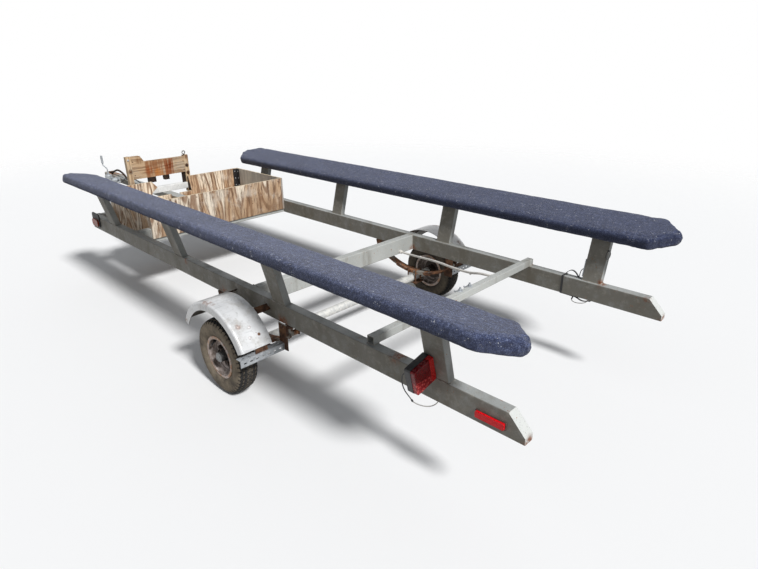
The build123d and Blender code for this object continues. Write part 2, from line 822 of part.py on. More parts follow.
# Jack: a bracket on the tongue, the swinging tube and its leg, foot and crank
jack_x = coupler_rear - jack_behind_coupler - jack_plate[0] / 2
jack_pivot_z = rail_top + tongue_height / 2
jack_low = level(jack_tube_level[0])
jack_high = level(jack_tube_level[1])
bracket_face = tongue_half + jack_plate[1]
collar_face = bracket_face + moving_clearance
with BuildPart() as jack_bracket:
    block(
        (jack_x - jack_plate[0] / 2, tongue_half, rail_top),
        (jack_x + jack_plate[0] / 2, bracket_face, tongue_top),
    )
    with BuildSketch(Plane.XZ.offset(-bracket_face)):
        with Locations((jack_x, jack_pivot_z)):
            Circle(pivot_radius)
    extrude(amount=-(jack_offset - jack_tube_radius - bracket_face))
save(jack_bracket, "jack_bracket")

with BuildPart() as jack_tube:
    with BuildSketch(Plane.XY.offset(jack_low)):
        with Locations((jack_x, jack_offset)):
            Circle(jack_tube_radius)
    extrude(amount=jack_high - jack_low)
    with BuildSketch(Plane.XY.offset(jack_high)):
        with Locations((jack_x, jack_offset)):
            Circle(jack_tube_radius + jack_cap_lip)
    extrude(amount=jack_cap_height)
    fillet(jack_tube.faces().sort_by(Axis.Z)[-1].edges(), radius=jack_cap_edge)
    with BuildSketch(Plane.XZ.offset(-collar_face)):
        with Locations((jack_x, jack_pivot_z)):
            Circle(collar_radius)
    extrude(amount=-(jack_offset - collar_face))
    with BuildSketch(Plane.XY.offset(jack_high + jack_cap_height)):
        with Locations((jack_x, jack_offset)):
            Circle(screw_boss[0])
    extrude(amount=screw_boss[1])
    with BuildSketch(Plane.XY.offset(jack_low)):
        with Locations((jack_x, jack_offset)):
            Circle(jack_tube_radius - jack_tube_wall)
    extrude(amount=jack_high - jack_low, mode=Mode.SUBTRACT)
    with BuildSketch(Plane.XZ.offset(-collar_face)):
        with Locations((jack_x, jack_pivot_z)):
            Circle(pivot_radius + running_gap)
    extrude(amount=-(jack_offset - jack_tube_radius - collar_face + 1), mode=Mode.SUBTRACT)
save(jack_tube, "jack_tube")

leg_radius = jack_tube_radius - jack_tube_wall - running_gap
with BuildPart() as jack_leg:
    with BuildSketch(Plane.XY):
        with Locations((jack_x, jack_offset)):
            Circle(jack_foot_radius)
    extrude(amount=jack_foot_thickness)
    fillet(jack_leg.faces().sort_by(Axis.Z)[-1].edges(), radius=jack_foot_edge)
    with BuildSketch(Plane.XY.offset(jack_foot_thickness)):
        with Locations((jack_x, jack_offset)):
            Circle(leg_radius)
            Circle(leg_radius - jack_leg_wall, mode=Mode.SUBTRACT)
    extrude(amount=jack_low + jack_leg_overlap - jack_foot_thickness)
save(jack_leg, "jack_leg")

# Crank: stem out of the boss, arm and upright grip
crank_x = jack_x + crank_arm
stem_low = jack_high + jack_cap_height + screw_boss[1]
stem_high = stem_low + crank_stem
grip_low = stem_high + crank_rise
with BuildPart() as crank:
    with BuildLine() as crank_line:
        FilletPolyline(
            (jack_x, jack_offset, stem_low),
            (jack_x, jack_offset, stem_high),
            (crank_x, jack_offset, grip_low),
            (crank_x, jack_offset, grip_low + grip_length + grip_tip),
            radius=crank_bend,
        )
    with BuildSketch(Plane(origin=crank_line.line @ 0, z_dir=crank_line.line % 0)):
        Circle(crank_rod)
    sweep()
    with BuildSketch(Plane.XY.offset(grip_low + grip_start)):
        with Locations((crank_x, jack_offset)):
            Circle(grip_radius)
    extrude(amount=grip_length)
save(crank, "jack_crank")

# Bow stop: a tube across the tongue, two timber uprights on its ends and a board between them
stop_x = at(stop_station)
stop_right, stop_left = stop_span
stop_base = tongue_top
stop_low = stop_base + stop_tube
stop_crossbar = square_tube(
    (stop_x - stop_tube / 2, stop_right, stop_base),
    (stop_x + stop_tube / 2, stop_left, stop_low),
    Axis.Y,
    tube_wall,
    tube_corner,
)
save(stop_crossbar, "stop_crossbar")
upright_table = (  # name, inner face, outward way, top
    ("stop_upright_right", stop_right, -1, stop_post_tops[0]),
    ("stop_upright_left", stop_left, 1, stop_post_tops[1]),
)
for name, inner_face, way, top in upright_table:
    near, far = sorted((inner_face, inner_face + way * stop_post))
    with BuildPart() as upright:
        block(
            (stop_x - stop_post / 2, near, level(stop_post_foot)),
            (stop_x + stop_post / 2, far, level(top)),
        )
    save(upright, name)

board_low, board_high = (level(height) for height in stop_board_level)
hump_foot, hump_run, hump_rise = stop_hump
with BuildPart() as board:
    with BuildSketch(Plane.YZ.offset(stop_x)) as outline:
        with BuildLine():
            Polyline(
                (stop_right, board_low),
                (stop_right, board_high),
                (hump_foot, board_high),
                (hump_foot + hump_run, board_high + hump_rise),
                (stop_left, board_high + hump_rise),
                (stop_left, board_low),
                close=True,
            )
        make_face()
        slope = outline.vertices().filter_by(lambda corner: stop_right + 1 < corner.Y < stop_left - 1)
        fillet(slope, radius=hump_radius)
    extrude(amount=stop_board / 2, both=True)
save(board, "stop_board")

with BuildPart() as stop_fittings:
    for right, left, depth in stop_blocks:
        block(
            (stop_x - stop_board / 2, right, board_low - depth),
            (stop_x + stop_board / 2, left, board_low),
        )
    strap_left = stop_right + stop_strap[1]
    block(
        (stop_x - stop_strap[0] / 2, stop_right, stop_low),
        (stop_x + stop_strap[0] / 2, strap_left, board_low),
    )
save(stop_fittings, "stop_fittings")

# Plywood box on the front crossmembers, its front cut out round the tongue
box_right = -rail_inner
box_left = rail_inner - box_gap_left
box_high = level(box_level)
box_low = level(box_skirt)
inside_rear = at(front_cross)
inside_front = at(box_front)
with BuildPart() as box_rear_panel:
    block((inside_rear - ply, box_right, box_low), (inside_rear, box_left, box_high))
save(box_rear_panel, "box_rear")

slot_half = tongue_half + tongue_slot_clearance
with BuildPart() as box_front_panel:
    block((inside_front, box_right, box_low), (inside_front + ply, box_left, box_high))
    with BuildSketch(Plane.YZ.offset(inside_front)):
        with BuildLine():
            Polyline(*[(y, level(height)) for y, height in notch_points], close=True)
        make_face()
    extrude(amount=ply, mode=Mode.SUBTRACT)
    with Locations((inside_front + ply / 2, 0, (rail_top + level(notch_floor)) / 2)):
        Box(ply, 2 * slot_half, notch_floor, mode=Mode.SUBTRACT)
save(box_front_panel, "box_front")

with BuildPart() as box_sides:
    block((inside_rear, box_right, rail_top), (inside_front, box_right + ply, box_high))
    block((inside_rear, box_left - ply, rail_top), (inside_front, box_left, box_high))
    skirt_rear = at(front_cross) + cross_section
    block((skirt_rear, box_right, box_low), (inside_front, box_right + ply, rail_top))
    block((skirt_rear, box_left - ply, box_low), (inside_front, box_left, rail_top))
save(box_sides, "box_sides")

with BuildPart() as box_floor:
    block((inside_rear, box_right + ply, rail_top), (inside_front, -slot_half, rail_top + ply))
    block((inside_rear, slot_half, rail_top), (inside_front, box_left - ply, rail_top + ply))
save(box_floor, "box_floor")

bracket_foot = rail_top + ply + bracket_margins[0]
bracket_top = box_high - bracket_margins[1]
with BuildPart() as box_bracket:
    corner_y = box_right + ply
    block(
        (inside_front - bracket_leg, corner_y, bracket_foot),
        (inside_front, corner_y + bracket_wall, bracket_top),
    )
    block(
        (inside_front - bracket_wall, corner_y, bracket_foot),
        (inside_front, corner_y + bracket_leg, bracket_top),
    )
save(box_bracket, "box_bracket")

# Tail lamps on the outer faces of the rearmost posts, leaning with them, on a plate across each post's front
lamp_front = at(post_stations[0] + post_length / 2)
lamp_rear = lamp_front - lamp[0]


# Plane across the trailer with its origin at a post's foot, its local X out from the post and Y up along it
def post_plane_at(side, x):
    return Plane(
        origin=(x, side * half_frame, rail_top),
        x_dir=(0, side * lean_cos, -lean_sin),
        z_dir=(side, 0, 0),
    )


lamp_middle = (lamp[1] / 2, lamp_foot + lamp[2] / 2)
with BuildPart() as lamps:
    for side in (1, -1):
        with BuildSketch(post_plane_at(side, lamp_rear + lens_depth)):
            with Locations(lamp_middle):
                RectangleRounded(lamp[1], lamp[2], radius=lamp_corner)
        extrude(amount=side * (lamp[0] - lens_depth))
save(lamps, "tail_lamps")
with BuildPart() as lenses:
    for side in (1, -1):
        with BuildSketch(post_plane_at(side, lamp_rear)):
            with Locations(lamp_middle):
                RectangleRounded(
                    lamp[1] - 2 * lens_inset, lamp[2] - 2 * lens_inset, radius=lamp_corner - lens_inset
                )
        extrude(amount=side * lens_depth)
    fillet(lenses.faces().group_by(Axis.X)[0].edges(), radius=lens_edge)
save(lenses, "tail_lenses")
with BuildPart() as lamp_plates:
    plate_width = post_depth + lamp[1] - lamp_plate_margin
    for side in (1, -1):
        with BuildSketch(post_plane_at(side, lamp_front)):
            with Locations((plate_width / 2 - post_depth, lamp_middle[1])):
                Rectangle(plate_width, lamp[2] - 2 * lamp_plate_margin)
        extrude(amount=side * lamp_plate)
save(lamp_plates, "lamp_plates")

# Marker lamps on the rails' outer faces: a base with a lens on it
marker_table = (  # lens node, base, lens, place, drop of the lens, corner radius
    ("side_markers", side_base, side_lens, side_marker_place, 0.0, side_corner),
    ("front_markers", front_base, front_lens, front_marker_place, front_lens_drop, front_corner),
)


def marker_block(side, station, height, inner, size):
    near, far = sorted((side * inner, side * (inner + size[1])))
    block(
        (at(station) - size[0] / 2, near, level(height) - size[2] / 2),
        (at(station) + size[0] / 2, far, level(height) + size[2] / 2),
    )


with BuildPart() as marker_bases:
    for name, base, lens, (station, height), drop, corner in marker_table:
        for side in (1, -1):
            marker_block(side, station, height, half_frame, base)
    upright_edges = marker_bases.edges().filter_by(Axis.Y).group_by(Axis.X)
    fillet(upright_edges[0] + upright_edges[1], radius=side_corner)
    upright_edges = marker_bases.edges().filter_by(Axis.Y).group_by(Axis.X)
    fillet(upright_edges[-1] + upright_edges[-2], radius=front_corner)
save(marker_bases, "marker_bases")
for name, base, lens, (station, height), drop, corner in marker_table:
    with BuildPart() as markers:
        for side in (1, -1):
            marker_block(side, station, height - drop, half_frame + base[1], lens)
        fillet(markers.edges().filter_by(Axis.Y), radius=corner)
    save(markers, name)

# Wiring conduit, hung between a gland on the middle crossmember and one on the rear cross tube
conduit_points = (  # station, Y, level
    (-14.0, -490.0, -86.0),
    (-80.0, -490.0, -86.0),
    (-205.0, -452.0, -66.0),
    (-370.0, -411.0, -41.0),
    (-530.0, -372.0, -33.0),
    (-680.0, -330.0, -12.0),
    (-765.0, -302.0, 19.0),
    (-829.9, -302.0, 19.0),
)
route = [(at(x), y, level(z)) for x, y, z in conduit_points]
runs = [(Vector(b) - Vector(a)).length for a, b in zip(route, route[1:])]
turns = [
    (Vector(b) - Vector(a)).get_angle(Vector(c) - Vector(b)) for a, b, c in zip(route, route[1:], route[2:])
]
radii = [
    arc_share * min(before, after) / math.tan(math.radians(turn / 2))
    for before, after, turn in zip(runs, runs[1:], turns)
]
print("conduit radii", [round(radius, 1) for radius in radii])
with BuildPart() as conduit:
    with BuildLine() as conduit_path:
        FilletPolyline(*route, radius=radii)
    with BuildSketch(Plane(origin=conduit_path.line @ 0, z_dir=conduit_path.line % 0)):
        Circle(conduit_radius)
    sweep()
conduit_length = sum(edge.length for edge in conduit_path.line.edges())
print("conduit length", round(conduit_length, 1))
print("conduit volume over section", round(conduit.part.volume / (math.pi * conduit_radius**2), 1))
save(conduit, "conduit")
with BuildPart() as glands:
    with BuildSketch(Plane.YZ.offset(at(middle_cross))):
        with Locations((route[0][1], route[0][2])):
            Circle(gland_radius)
    extrude(amount=-gland_length)
    with BuildSketch(Plane.YZ.offset(at(rear_tube_station) + rear_tube_size)):
        with Locations((route[-1][1], route[-1][2])):
            Circle(gland_radius)
    extrude(amount=gland_length)
save(glands, "conduit_glands")
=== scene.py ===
import cmath
import json
import math
import random

import bmesh
import bpy
import numpy as np
from mathutils import Matrix, Vector, noise


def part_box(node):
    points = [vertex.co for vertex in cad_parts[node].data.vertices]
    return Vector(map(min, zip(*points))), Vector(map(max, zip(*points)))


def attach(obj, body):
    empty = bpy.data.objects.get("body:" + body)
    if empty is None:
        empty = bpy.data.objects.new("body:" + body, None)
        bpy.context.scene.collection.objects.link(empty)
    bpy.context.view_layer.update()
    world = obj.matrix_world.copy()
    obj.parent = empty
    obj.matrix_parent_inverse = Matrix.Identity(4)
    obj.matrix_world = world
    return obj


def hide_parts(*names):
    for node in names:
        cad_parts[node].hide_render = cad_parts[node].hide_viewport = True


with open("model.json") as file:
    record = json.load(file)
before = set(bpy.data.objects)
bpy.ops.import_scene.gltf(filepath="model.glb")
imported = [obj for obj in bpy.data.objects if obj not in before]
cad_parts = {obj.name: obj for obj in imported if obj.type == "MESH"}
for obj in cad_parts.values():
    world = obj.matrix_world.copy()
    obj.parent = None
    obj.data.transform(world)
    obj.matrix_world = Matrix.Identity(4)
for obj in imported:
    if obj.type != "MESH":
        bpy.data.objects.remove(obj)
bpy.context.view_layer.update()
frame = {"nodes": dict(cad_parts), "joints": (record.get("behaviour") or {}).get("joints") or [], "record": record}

# Boat trailer. Metres, +X forwards, +Y to the left, +Z up, ground at z = 0.

# Places that everything else is measured from
axle_x, wheel_y, axle_z = next(j for j in frame["joints"] if j["name"] == "wheel_left_spin")["pos_m"]
rail_low, rail_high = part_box("rail_left")
rail_bottom, rail_top = rail_low.z, rail_high.z
rail_inner, rail_outer = rail_low.y, rail_high.y
tongue_top, tongue_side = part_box("tongue")[1].z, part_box("tongue")[1].y
post_middles = [axle_x + station for station in (-1.237, -0.245, 0.785, 1.777)]
post_half, post_thick = 0.0508, 0.0381
post_lean = math.radians(14.0)
post_inner = rail_outer - post_thick / math.cos(post_lean)
both_sides = (("left", 1), ("right", -1))

# Camera of the photograph, which is 758 x 569
camera_place = (-3.2790, 2.0686, 1.6279)
camera_view = (0.64500, -0.65971, -0.38568)
camera_up = (0.26306, -0.28218, 0.92259)
camera_lens, camera_sensor = 25.944, 36.0      # mm
camera_clip = (0.05, 100.0)

# Light. The floor fades into the white background far from the object, and throws up less light than it shows
sun_way = (0.71, -0.12, -0.69)
sun_strength, sun_spread = 3.7, math.radians(9.0)
sky_strength, sky_colour = 0.29, (0.93, 0.96, 1.0, 1.0)
backdrop = (1.0, 1.0, 1.0, 1.0)
floor_radius, floor_sides, floor_drop = 14.0, 96, 0.0005
floor_fade = (4.0, 9.0)
floor_shown, floor_thrown = (0.86, 0.86, 0.86, 1.0), (0.36, 0.35, 0.33, 1.0)


# Objects and shader nodes

def placed(name, data):
    made = bpy.data.objects.new(name, data)
    bpy.context.scene.collection.objects.link(made)
    return made


# Gives a socket its value, or links it to another socket
def feed(tree, socket, value):
    if isinstance(value, bpy.types.NodeSocket):
        tree.links.new(value, socket)
    else:
        socket.default_value = value


def add_node(tree, kind, inputs=(), **settings):
    made = tree.nodes.new("ShaderNode" + kind)
    for name, value in settings.items():
        setattr(made, name, value)
    for name, value in dict(inputs).items():
        feed(tree, made.inputs[name], value)
    return made


# 1 for a ray from the camera, a mirror or a glass, 0 for light on the object
def seen_directly(tree):
    path = add_node(tree, "LightPath").outputs
    seen = path["Is Camera Ray"]
    for name in ("Is Glossy Ray", "Is Transmission Ray"):
        seen = add_node(tree, "Math", {0: seen, 1: path[name]}, operation="MAXIMUM").outputs["Value"]
    return seen


# A colour as it shows on a screen, 0 to 255, as the light value that a shader takes
def shade(*levels):
    values = [level / 255 for level in levels]
    return tuple(v / 12.92 if v <= 0.04045 else ((v + 0.055) / 1.055) ** 2.4 for v in values) + (1.0,)


class Finish:
    """A material, its colour so far (tone) and short calls for its nodes. Places are the frame's metres."""

    def __init__(self, name, roughness=0.6, specular=0.5):
        self.material = bpy.data.materials.new(name)
        self.material.use_nodes = True
        self.tree = self.material.node_tree
        self.shader = self.tree.nodes["Principled BSDF"]
        self.surface({"Roughness": roughness, "Specular IOR Level": specular})
        self.place = self.node("TexCoord").outputs["Object"]

    def node(self, kind, inputs=(), **settings):
        return add_node(self.tree, kind, inputs, **settings)

    def surface(self, values):
        for name, value in values.items():
            feed(self.tree, self.shader.inputs[name], value)

    def stretched(self, scale, turn=(0.0, 0.0, 0.0)):
        drawn = {"Vector": self.place, "Rotation": turn, "Scale": scale}
        return self.node("Mapping", drawn).outputs["Vector"]

    def noise(self, scale, detail=4.0, rough=0.55, at=None, distort=0.0):
        settings = {"Scale": scale, "Detail": detail, "Roughness": rough, "Distortion": distort}
        return self.node("TexNoise", {"Vector": at or self.place, **settings}).outputs[0]

    def cells(self, scale, output="Distance"):
        return self.node("TexVoronoi", {"Vector": self.place, "Scale": scale}).outputs[output]

    def along(self, axis, of=None):
        return self.node("SeparateXYZ", {"Vector": of or self.place}).outputs[axis]

    def facing(self, axis):
        return self.along(axis, self.node("NewGeometry").outputs["Normal"])

    def calc(self, operation, a, b=0.0):
        return self.node("Math", {0: a, 1: b}, operation=operation).outputs["Value"]

    def both(self, first, *others):
        """Product of values."""
        for other in others:
            first = self.calc("MULTIPLY", first, other)
        return first

    def peak(self, first, *others):
        """Largest of values."""
        for other in others:
            first = self.calc("MAXIMUM", first, other)
        return first

    def band(self, value, low, high, start=0.0, end=1.0):
        """Start where a value is low, running smoothly to end where it is high."""
        ends = {"Value": value, "From Min": low, "From Max": high, "To Min": start, "To Max": end}
        return self.node("MapRange", ends, interpolation_type="SMOOTHSTEP").outputs["Result"]

    def blots(self, scale, detail, rough, *ends):
        """The band of a noise."""
        return self.band(self.noise(scale, detail, rough), *ends)

    def near(self, place, reach):
        """1 at a place of the frame, falling to 0 at reach away from it."""
        away = self.node("VectorMath", {0: self.place, 1: place}, operation="DISTANCE").outputs["Value"]
        return self.band(away, reach, reach * 0.3)

    def off_axle(self, ahead=0.0, above=0.0):
        """Distance from the axle's line, or from a line beside it."""
        across, high = (
            self.calc("POWER", self.calc("SUBTRACT", self.along(axis), middle), 2.0)
            for axis, middle in (("X", axle_x + ahead), ("Z", axle_z + above))
        )
        return self.calc("SQRT", self.calc("ADD", across, high))

    def ramp(self, value, *stops):
        """Colours along a value. Each stop is its place and three screen levels."""
        made = self.node("ValToRGB", {"Fac": value})
        marks = made.color_ramp.elements
        while len(marks) < len(stops):
            marks.new(0.5)
        for mark, (where, *levels) in zip(marks, stops):
            mark.position = where
            mark.color = shade(*levels)
        return made.outputs["Color"]

    def mix(self, factor, a, b):
        return self.node("Mix", {0: factor, 6: a, 7: b}, data_type="RGBA").outputs[2]

    def lay(self, mask, tint):
        """Lays a tint, as screen levels or a socket, over the colour so far where the mask is 1."""
        over = tint if isinstance(tint, bpy.types.NodeSocket) else shade(*tint)
        self.tone = self.mix(mask, self.tone, over)

    def made(self, *bumps, rounded=0.0):
        """The material. Bumps are a height from 0 to 1 and its depth each, over edges rounded by a radius."""
        under = {}
        if rounded:
            under = {"Normal": self.node("Bevel", {"Radius": rounded}, samples=4).outputs["Normal"]}
        for height, depth in bumps:
            made = self.node("Bump", {"Distance": depth, "Height": height, **under})
            under = {"Normal": made.outputs["Normal"]}
        self.surface({"Base Color": self.tone, **under})
        return self.material


# Camera, light and floor

def make_camera():
    lens = bpy.data.cameras.new("camera")
    lens.lens, lens.sensor_width = camera_lens, camera_sensor
    lens.clip_start, lens.clip_end = camera_clip
    camera = placed("camera", lens)
    back = -Vector(camera_view).normalized()
    right = Vector(camera_up).cross(back).normalized()
    turn = Matrix((right, back.cross(right), back)).transposed()
    camera.matrix_world = Matrix.Translation(camera_place) @ turn.to_4x4()
    bpy.context.scene.camera = camera


def make_lights():
    sun = bpy.data.lights.new("sun", "SUN")
    sun.energy, sun.angle = sun_strength, sun_spread
    placed("sun", sun).rotation_euler = Vector(sun_way).to_track_quat("-Z", "Y").to_euler()

    world = bpy.data.worlds.new("sky")
    world.use_nodes = True
    bpy.context.scene.world = world
    tree = world.node_tree
    tree.nodes.clear()
    sky = add_node(tree, "Background", {"Strength": sky_strength, "Color": sky_colour}).outputs[0]
    white = add_node(tree, "Background", {"Color": backdrop}).outputs[0]
    mix = add_node(tree, "MixShader", {"Fac": seen_directly(tree), 1: sky, 2: white})
    add_node(tree, "OutputWorld", {"Surface": mix.outputs["Shader"]})


def make_floor():
    mesh = bpy.data.meshes.new("floor")
    form = bmesh.new()
    bmesh.ops.create_circle(form, cap_ends=True, radius=floor_radius, segments=floor_sides)
    form.to_mesh(mesh)
    form.free()
    floor = placed("floor", mesh)
    floor.location.z = -floor_drop
    f = Finish("floor", roughness=0.9, specular=0.1)
    f.tone = f.mix(seen_directly(f.tree), floor_thrown, floor_shown)
    mesh.materials.append(f.made())
    reach = f.node("VectorMath", {0: f.place}, operation="LENGTH").outputs["Value"]
    clear = f.node("BsdfTransparent").outputs["BSDF"]
    mix = f.node("MixShader", {"Fac": f.band(reach, *floor_fade), 1: f.shader.outputs["BSDF"], 2: clear})
    feed(f.tree, f.tree.nodes["Material Output"].inputs["Surface"], mix.outputs["Shader"])


# Rust on the frame: a place and how far it spreads
frame_rust = (
    ((-1.838, -0.655, 0.508), 0.036), ((-1.990, 0.640, 0.512), 0.050), ((-2.587, 0.642, 0.412), 0.040),
    ((-2.587, -0.642, 0.412), 0.040), ((-2.510, -0.617, 0.510), 0.030), ((-2.263, -0.640, 0.512), 0.035),
    ((-0.283, 0.668, 0.500), 0.030), ((-2.160, 0.668, 0.520), 0.035), ((-1.240, 0.668, 0.412), 0.060),
    ((-0.975, -0.617, 0.415), 0.045), ((-0.700, 0.668, 0.412), 0.060),
)

# Fasteners on each fender: a place on the left one, finish and head's radius
fender_heads = (
    (-1.172, 0.877, 0.443, "painted", 0.010),
    (-1.186, 0.826, 0.429, "painted", 0.008),
    (-1.220, 0.848, 0.391, "painted", 0.008),
    (-1.221, 0.797, 0.393, "rusty", 0.007),
)

# Rust on each fender, some of it round those: a place, how far it spreads and its strength
fender_rust = (
    ((-0.930, 0.906, 0.510), 0.024, 0.6), ((-0.962, 0.904, 0.512), 0.026, 0.6),
    ((-0.992, 0.900, 0.511), 0.020, 0.5), ((-1.172, 0.877, 0.443), 0.022, 0.45),
    ((-1.186, 0.826, 0.429), 0.012, 0.2), ((-1.220, 0.848, 0.391), 0.012, 0.2),
    ((-1.221, 0.797, 0.393), 0.013, 0.7), ((-0.700, 0.905, 0.345), 0.040, 0.8),
)

# Stains on the rear of the bow stop's board and uprights: a place, reach, strength and colour
board_stains = (
    ((1.305, 0.120, 0.760), 0.050, 0.7, (142, 76, 38)),
    ((1.305, 0.040, 0.735), 0.055, 0.8, (176, 114, 58)),
    ((1.305, -0.060, 0.780), 0.045, 0.9, (112, 54, 24)),
    ((1.305, 0.190, 0.850), 0.040, 0.7, (120, 84, 52)),
)
upright_stains = (
    ((1.305, 0.275, 0.770), 0.030, 0.9, (70, 50, 38)),
    ((1.305, 0.275, 0.640), 0.060, 0.6, (120, 88, 60)),
    ((1.305, -0.215, 0.840), 0.040, 1.0, (96, 54, 32)),
    ((1.305, -0.210, 0.760), 0.020, 1.0, (84, 50, 32)),
    ((1.305, -0.225, 0.700), 0.020, 1.0, (84, 50, 32)),
    ((1.305, -0.220, 0.600), 0.060, 1.0, (104, 58, 34)),
)

# Stains that run down the board: right and left ends, strength and colour
board_washes = ((-0.012, 0.152, 0.85, (134, 86, 52)), (-0.098, -0.012, 0.95, (128, 68, 32)))
wash_edge = 0.006


# Finishes. A noise has its scale, detail and roughness, then its band's low, high, start and end.

def frame_paint(name, dark, light):
    f = Finish(name, specular=0.4)
    f.tone = f.ramp(f.noise(3.0, 5.0), (0.3, *dark), (0.7, *light))
    streaks = f.noise(9.0, 6.0, 0.65, f.stretched((1.0, 1.0, 0.2)))
    f.lay(f.band(streaks, 0.52, 0.72, 0.0, 0.6), (112, 106, 94))
    # Painted shade: the frame's sides facing ±Y are darker, in patches like grime
    side = f.band(f.calc("ABSOLUTE", f.facing("Y")), 0.5, 0.9, 0.0, 0.75)
    f.lay(f.both(side, f.blots(14.0, 6.0, 0.7, 0.2, 0.55, 0.4, 1.0)), (104, 97, 84))
    f.lay(f.blots(26.0, 5.0, 0.7, 0.5, 0.75, 0.0, 0.4), (176, 172, 162))
    fine = f.blots(210.0, 3.0, 0.6, 0.52, 0.68, 0.0, 0.3)
    f.lay(fine, (98, 94, 86))
    tail_cap = f.both(f.band(f.facing("X"), -0.6, -0.75), f.band(f.along("X"), -2.50, -2.51))
    f.lay(f.both(tail_cap, f.band(fine, 0.0, 0.3, 1.0, 0.55)), (206, 208, 205))
    bloom = f.peak(*[f.near(place, reach) for place, reach in frame_rust])
    chips = f.peak(f.blots(75.0, 5.0, 0.6, 0.67, 0.70), f.both(bloom, f.blots(34.0, 6.0, 0.7, 0.38, 0.56)))
    rust = f.ramp(f.noise(150.0, 4.0, 0.7), (0.3, 70, 42, 28), (0.55, 124, 74, 44), (0.75, 162, 108, 66))
    f.lay(chips, rust)
    f.surface({"Roughness": f.band(streaks, 0.3, 0.7, 0.42, 0.72)})
    return f.made((f.noise(340.0, 3.0), 0.0004), (chips, 0.0003), rounded=0.0015)


def zinc(name, dark, light, rust_amount):
    f = Finish(name)
    f.tone = f.ramp(f.along("X", f.cells(70.0, "Color")), (0.0, *dark), (1.0, *light))
    f.lay(f.blots(18.0, 6.0, 0.7, 0.45, 0.75, 0.0, 0.7), light)
    spots = f.blots(24.0, 6.0, 0.72, 0.72 - rust_amount, 0.80 - rust_amount)
    f.lay(spots, f.ramp(f.noise(90.0), (0.35, 84, 48, 30), (0.7, 158, 98, 58)))
    f.surface({
        "Metallic": f.band(spots, 0.0, 1.0, 0.3, 0.0),
        "Roughness": f.blots(40.0, 4.0, 0.55, 0.3, 0.7, 0.38, 0.6),
    })
    return f.made((f.noise(260.0, 3.0), 0.0004), rounded=0.0012)


# Rust, with pale metal worn through it by an amount, and its colours multiplied by a gain
def rusty_steel(name, pale=0.0, gain=1.0):
    f = Finish(name, roughness=0.85, specular=0.3)
    stops = ((0.28, 38, 29, 25), (0.45, 74, 52, 40), (0.58, 108, 76, 54), (0.74, 142, 108, 78))
    stops = [(at, *[level * gain for level in tint]) for at, *tint in stops]
    f.tone = f.ramp(f.noise(28.0, 8.0, 0.68), *stops)
    worn = f.ramp(f.noise(50.0), (0.3, 122, 116, 108), (0.7, 176, 172, 164))
    f.lay(f.blots(11.0, 5.0, 0.6, 0.62 - pale, 0.72 - pale), worn)
    return f.made((f.noise(120.0, 6.0, 0.7), 0.0012), (f.cells(240.0), 0.0006), rounded=0.0015)


def carpet():
    f = Finish("bunk_carpet", roughness=0.95, specular=0.08)
    loops = f.along("X", f.cells(360.0, "Color"))
    f.tone = f.ramp(loops, (0.0, 28, 35, 62), (0.45, 54, 64, 98), (0.8, 84, 95, 132), (1.0, 134, 145, 180))
    flecks = f.noise(130.0, 4.0, 0.75)
    f.lay(f.band(flecks, 0.36, 0.56, 0.75, 0.0), (30, 35, 58))
    f.lay(f.band(flecks, 0.56, 0.70, 0.0, 0.45), (132, 142, 176))
    f.lay(f.blots(4.0, 5.0, 0.6, 0.38, 0.68, 0.0, 0.35), (90, 100, 134))
    grain = f.noise(52.0, 3.0, 0.7)
    f.lay(f.band(grain, 0.34, 0.50, 0.5, 0.0), (30, 35, 58))
    f.lay(f.band(grain, 0.54, 0.70, 0.0, 0.4), (122, 132, 164))
    f.lay(f.band(f.along("Y"), 0.0, -0.1, 0.0, 0.40), (30, 38, 68))      # painted shade: the right bunk is darker
    # Painted shade: faces that don't look up are darker
    f.lay(f.band(f.facing("Z"), 0.15, 0.8, 0.45, 0.0), (34, 39, 62))
    rows = f.noise(70.0, 4.0, 0.6, f.stretched((0.2, 1.0, 1.0)))
    f.lay(f.band(rows, 0.54, 0.7, 0.0, 0.4), (48, 54, 76))
    threads = f.noise(26.0, 2.0, 0.4, f.stretched((1.0, 3.0, 1.0), (0.0, 0.0, 0.6)))
    f.lay(f.both(f.band(threads, 0.60, 0.66), f.blots(240.0, 2.0, 0.55, 0.6, 0.66)), (206, 208, 214))
    f.surface({"Sheen Weight": 0.2, "Sheen Roughness": 0.6})
    return f.made((f.cells(360.0), 0.0024), (f.noise(110.0, 5.0, 0.65), 0.0022))


def timber(name, dark, light, grain_axis, stains, washes=()):
    f = Finish(name, roughness=0.8, specular=0.25)
    fibres = f.stretched([0.5 if axis == grain_axis else 6.0 for axis in "XYZ"])
    rings = f.calc("SINE", f.both(f.noise(1.6, 3.0, 0.5, fibres), 55.0))
    fine = f.noise(22.0, 7.0, 0.7, fibres)
    f.tone = shade(*light)
    f.lay(f.band(rings, -0.6, 0.9, 0.0, 0.75), dark)
    f.lay(f.band(fine, 0.45, 0.7, 0.0, 0.42), dark)
    f.lay(f.blots(9.0, 6.0, 0.65, 0.46, 0.7, 0.0, 0.55), (176, 168, 154))
    drips = f.noise(22.0, 3.0, 0.55, f.stretched((1.0, 3.0, 0.22)))
    behind = f.band(f.facing("X"), 0.1, -0.3)
    y = f.along("Y")
    for right, left, strength, tint in washes:
        inside = f.both(f.band(y, right, right + wash_edge), f.band(y, left, left - wash_edge), behind)
        f.lay(f.both(inside, f.band(drips, 0.40, 0.60, 0.35, strength)), tint)
    for place, reach, strength, tint in stains:
        f.lay(f.both(f.near(place, reach), f.band(drips, 0.36, 0.56, 0.15, strength), behind), tint)
    f.lay(f.band(f.cells(11.0), 0.05, 0.11, 0.7, 0.0), (78, 52, 36))     # knots
    return f.made((fine, 0.0022), (rings, 0.0008), rounded=0.0035)


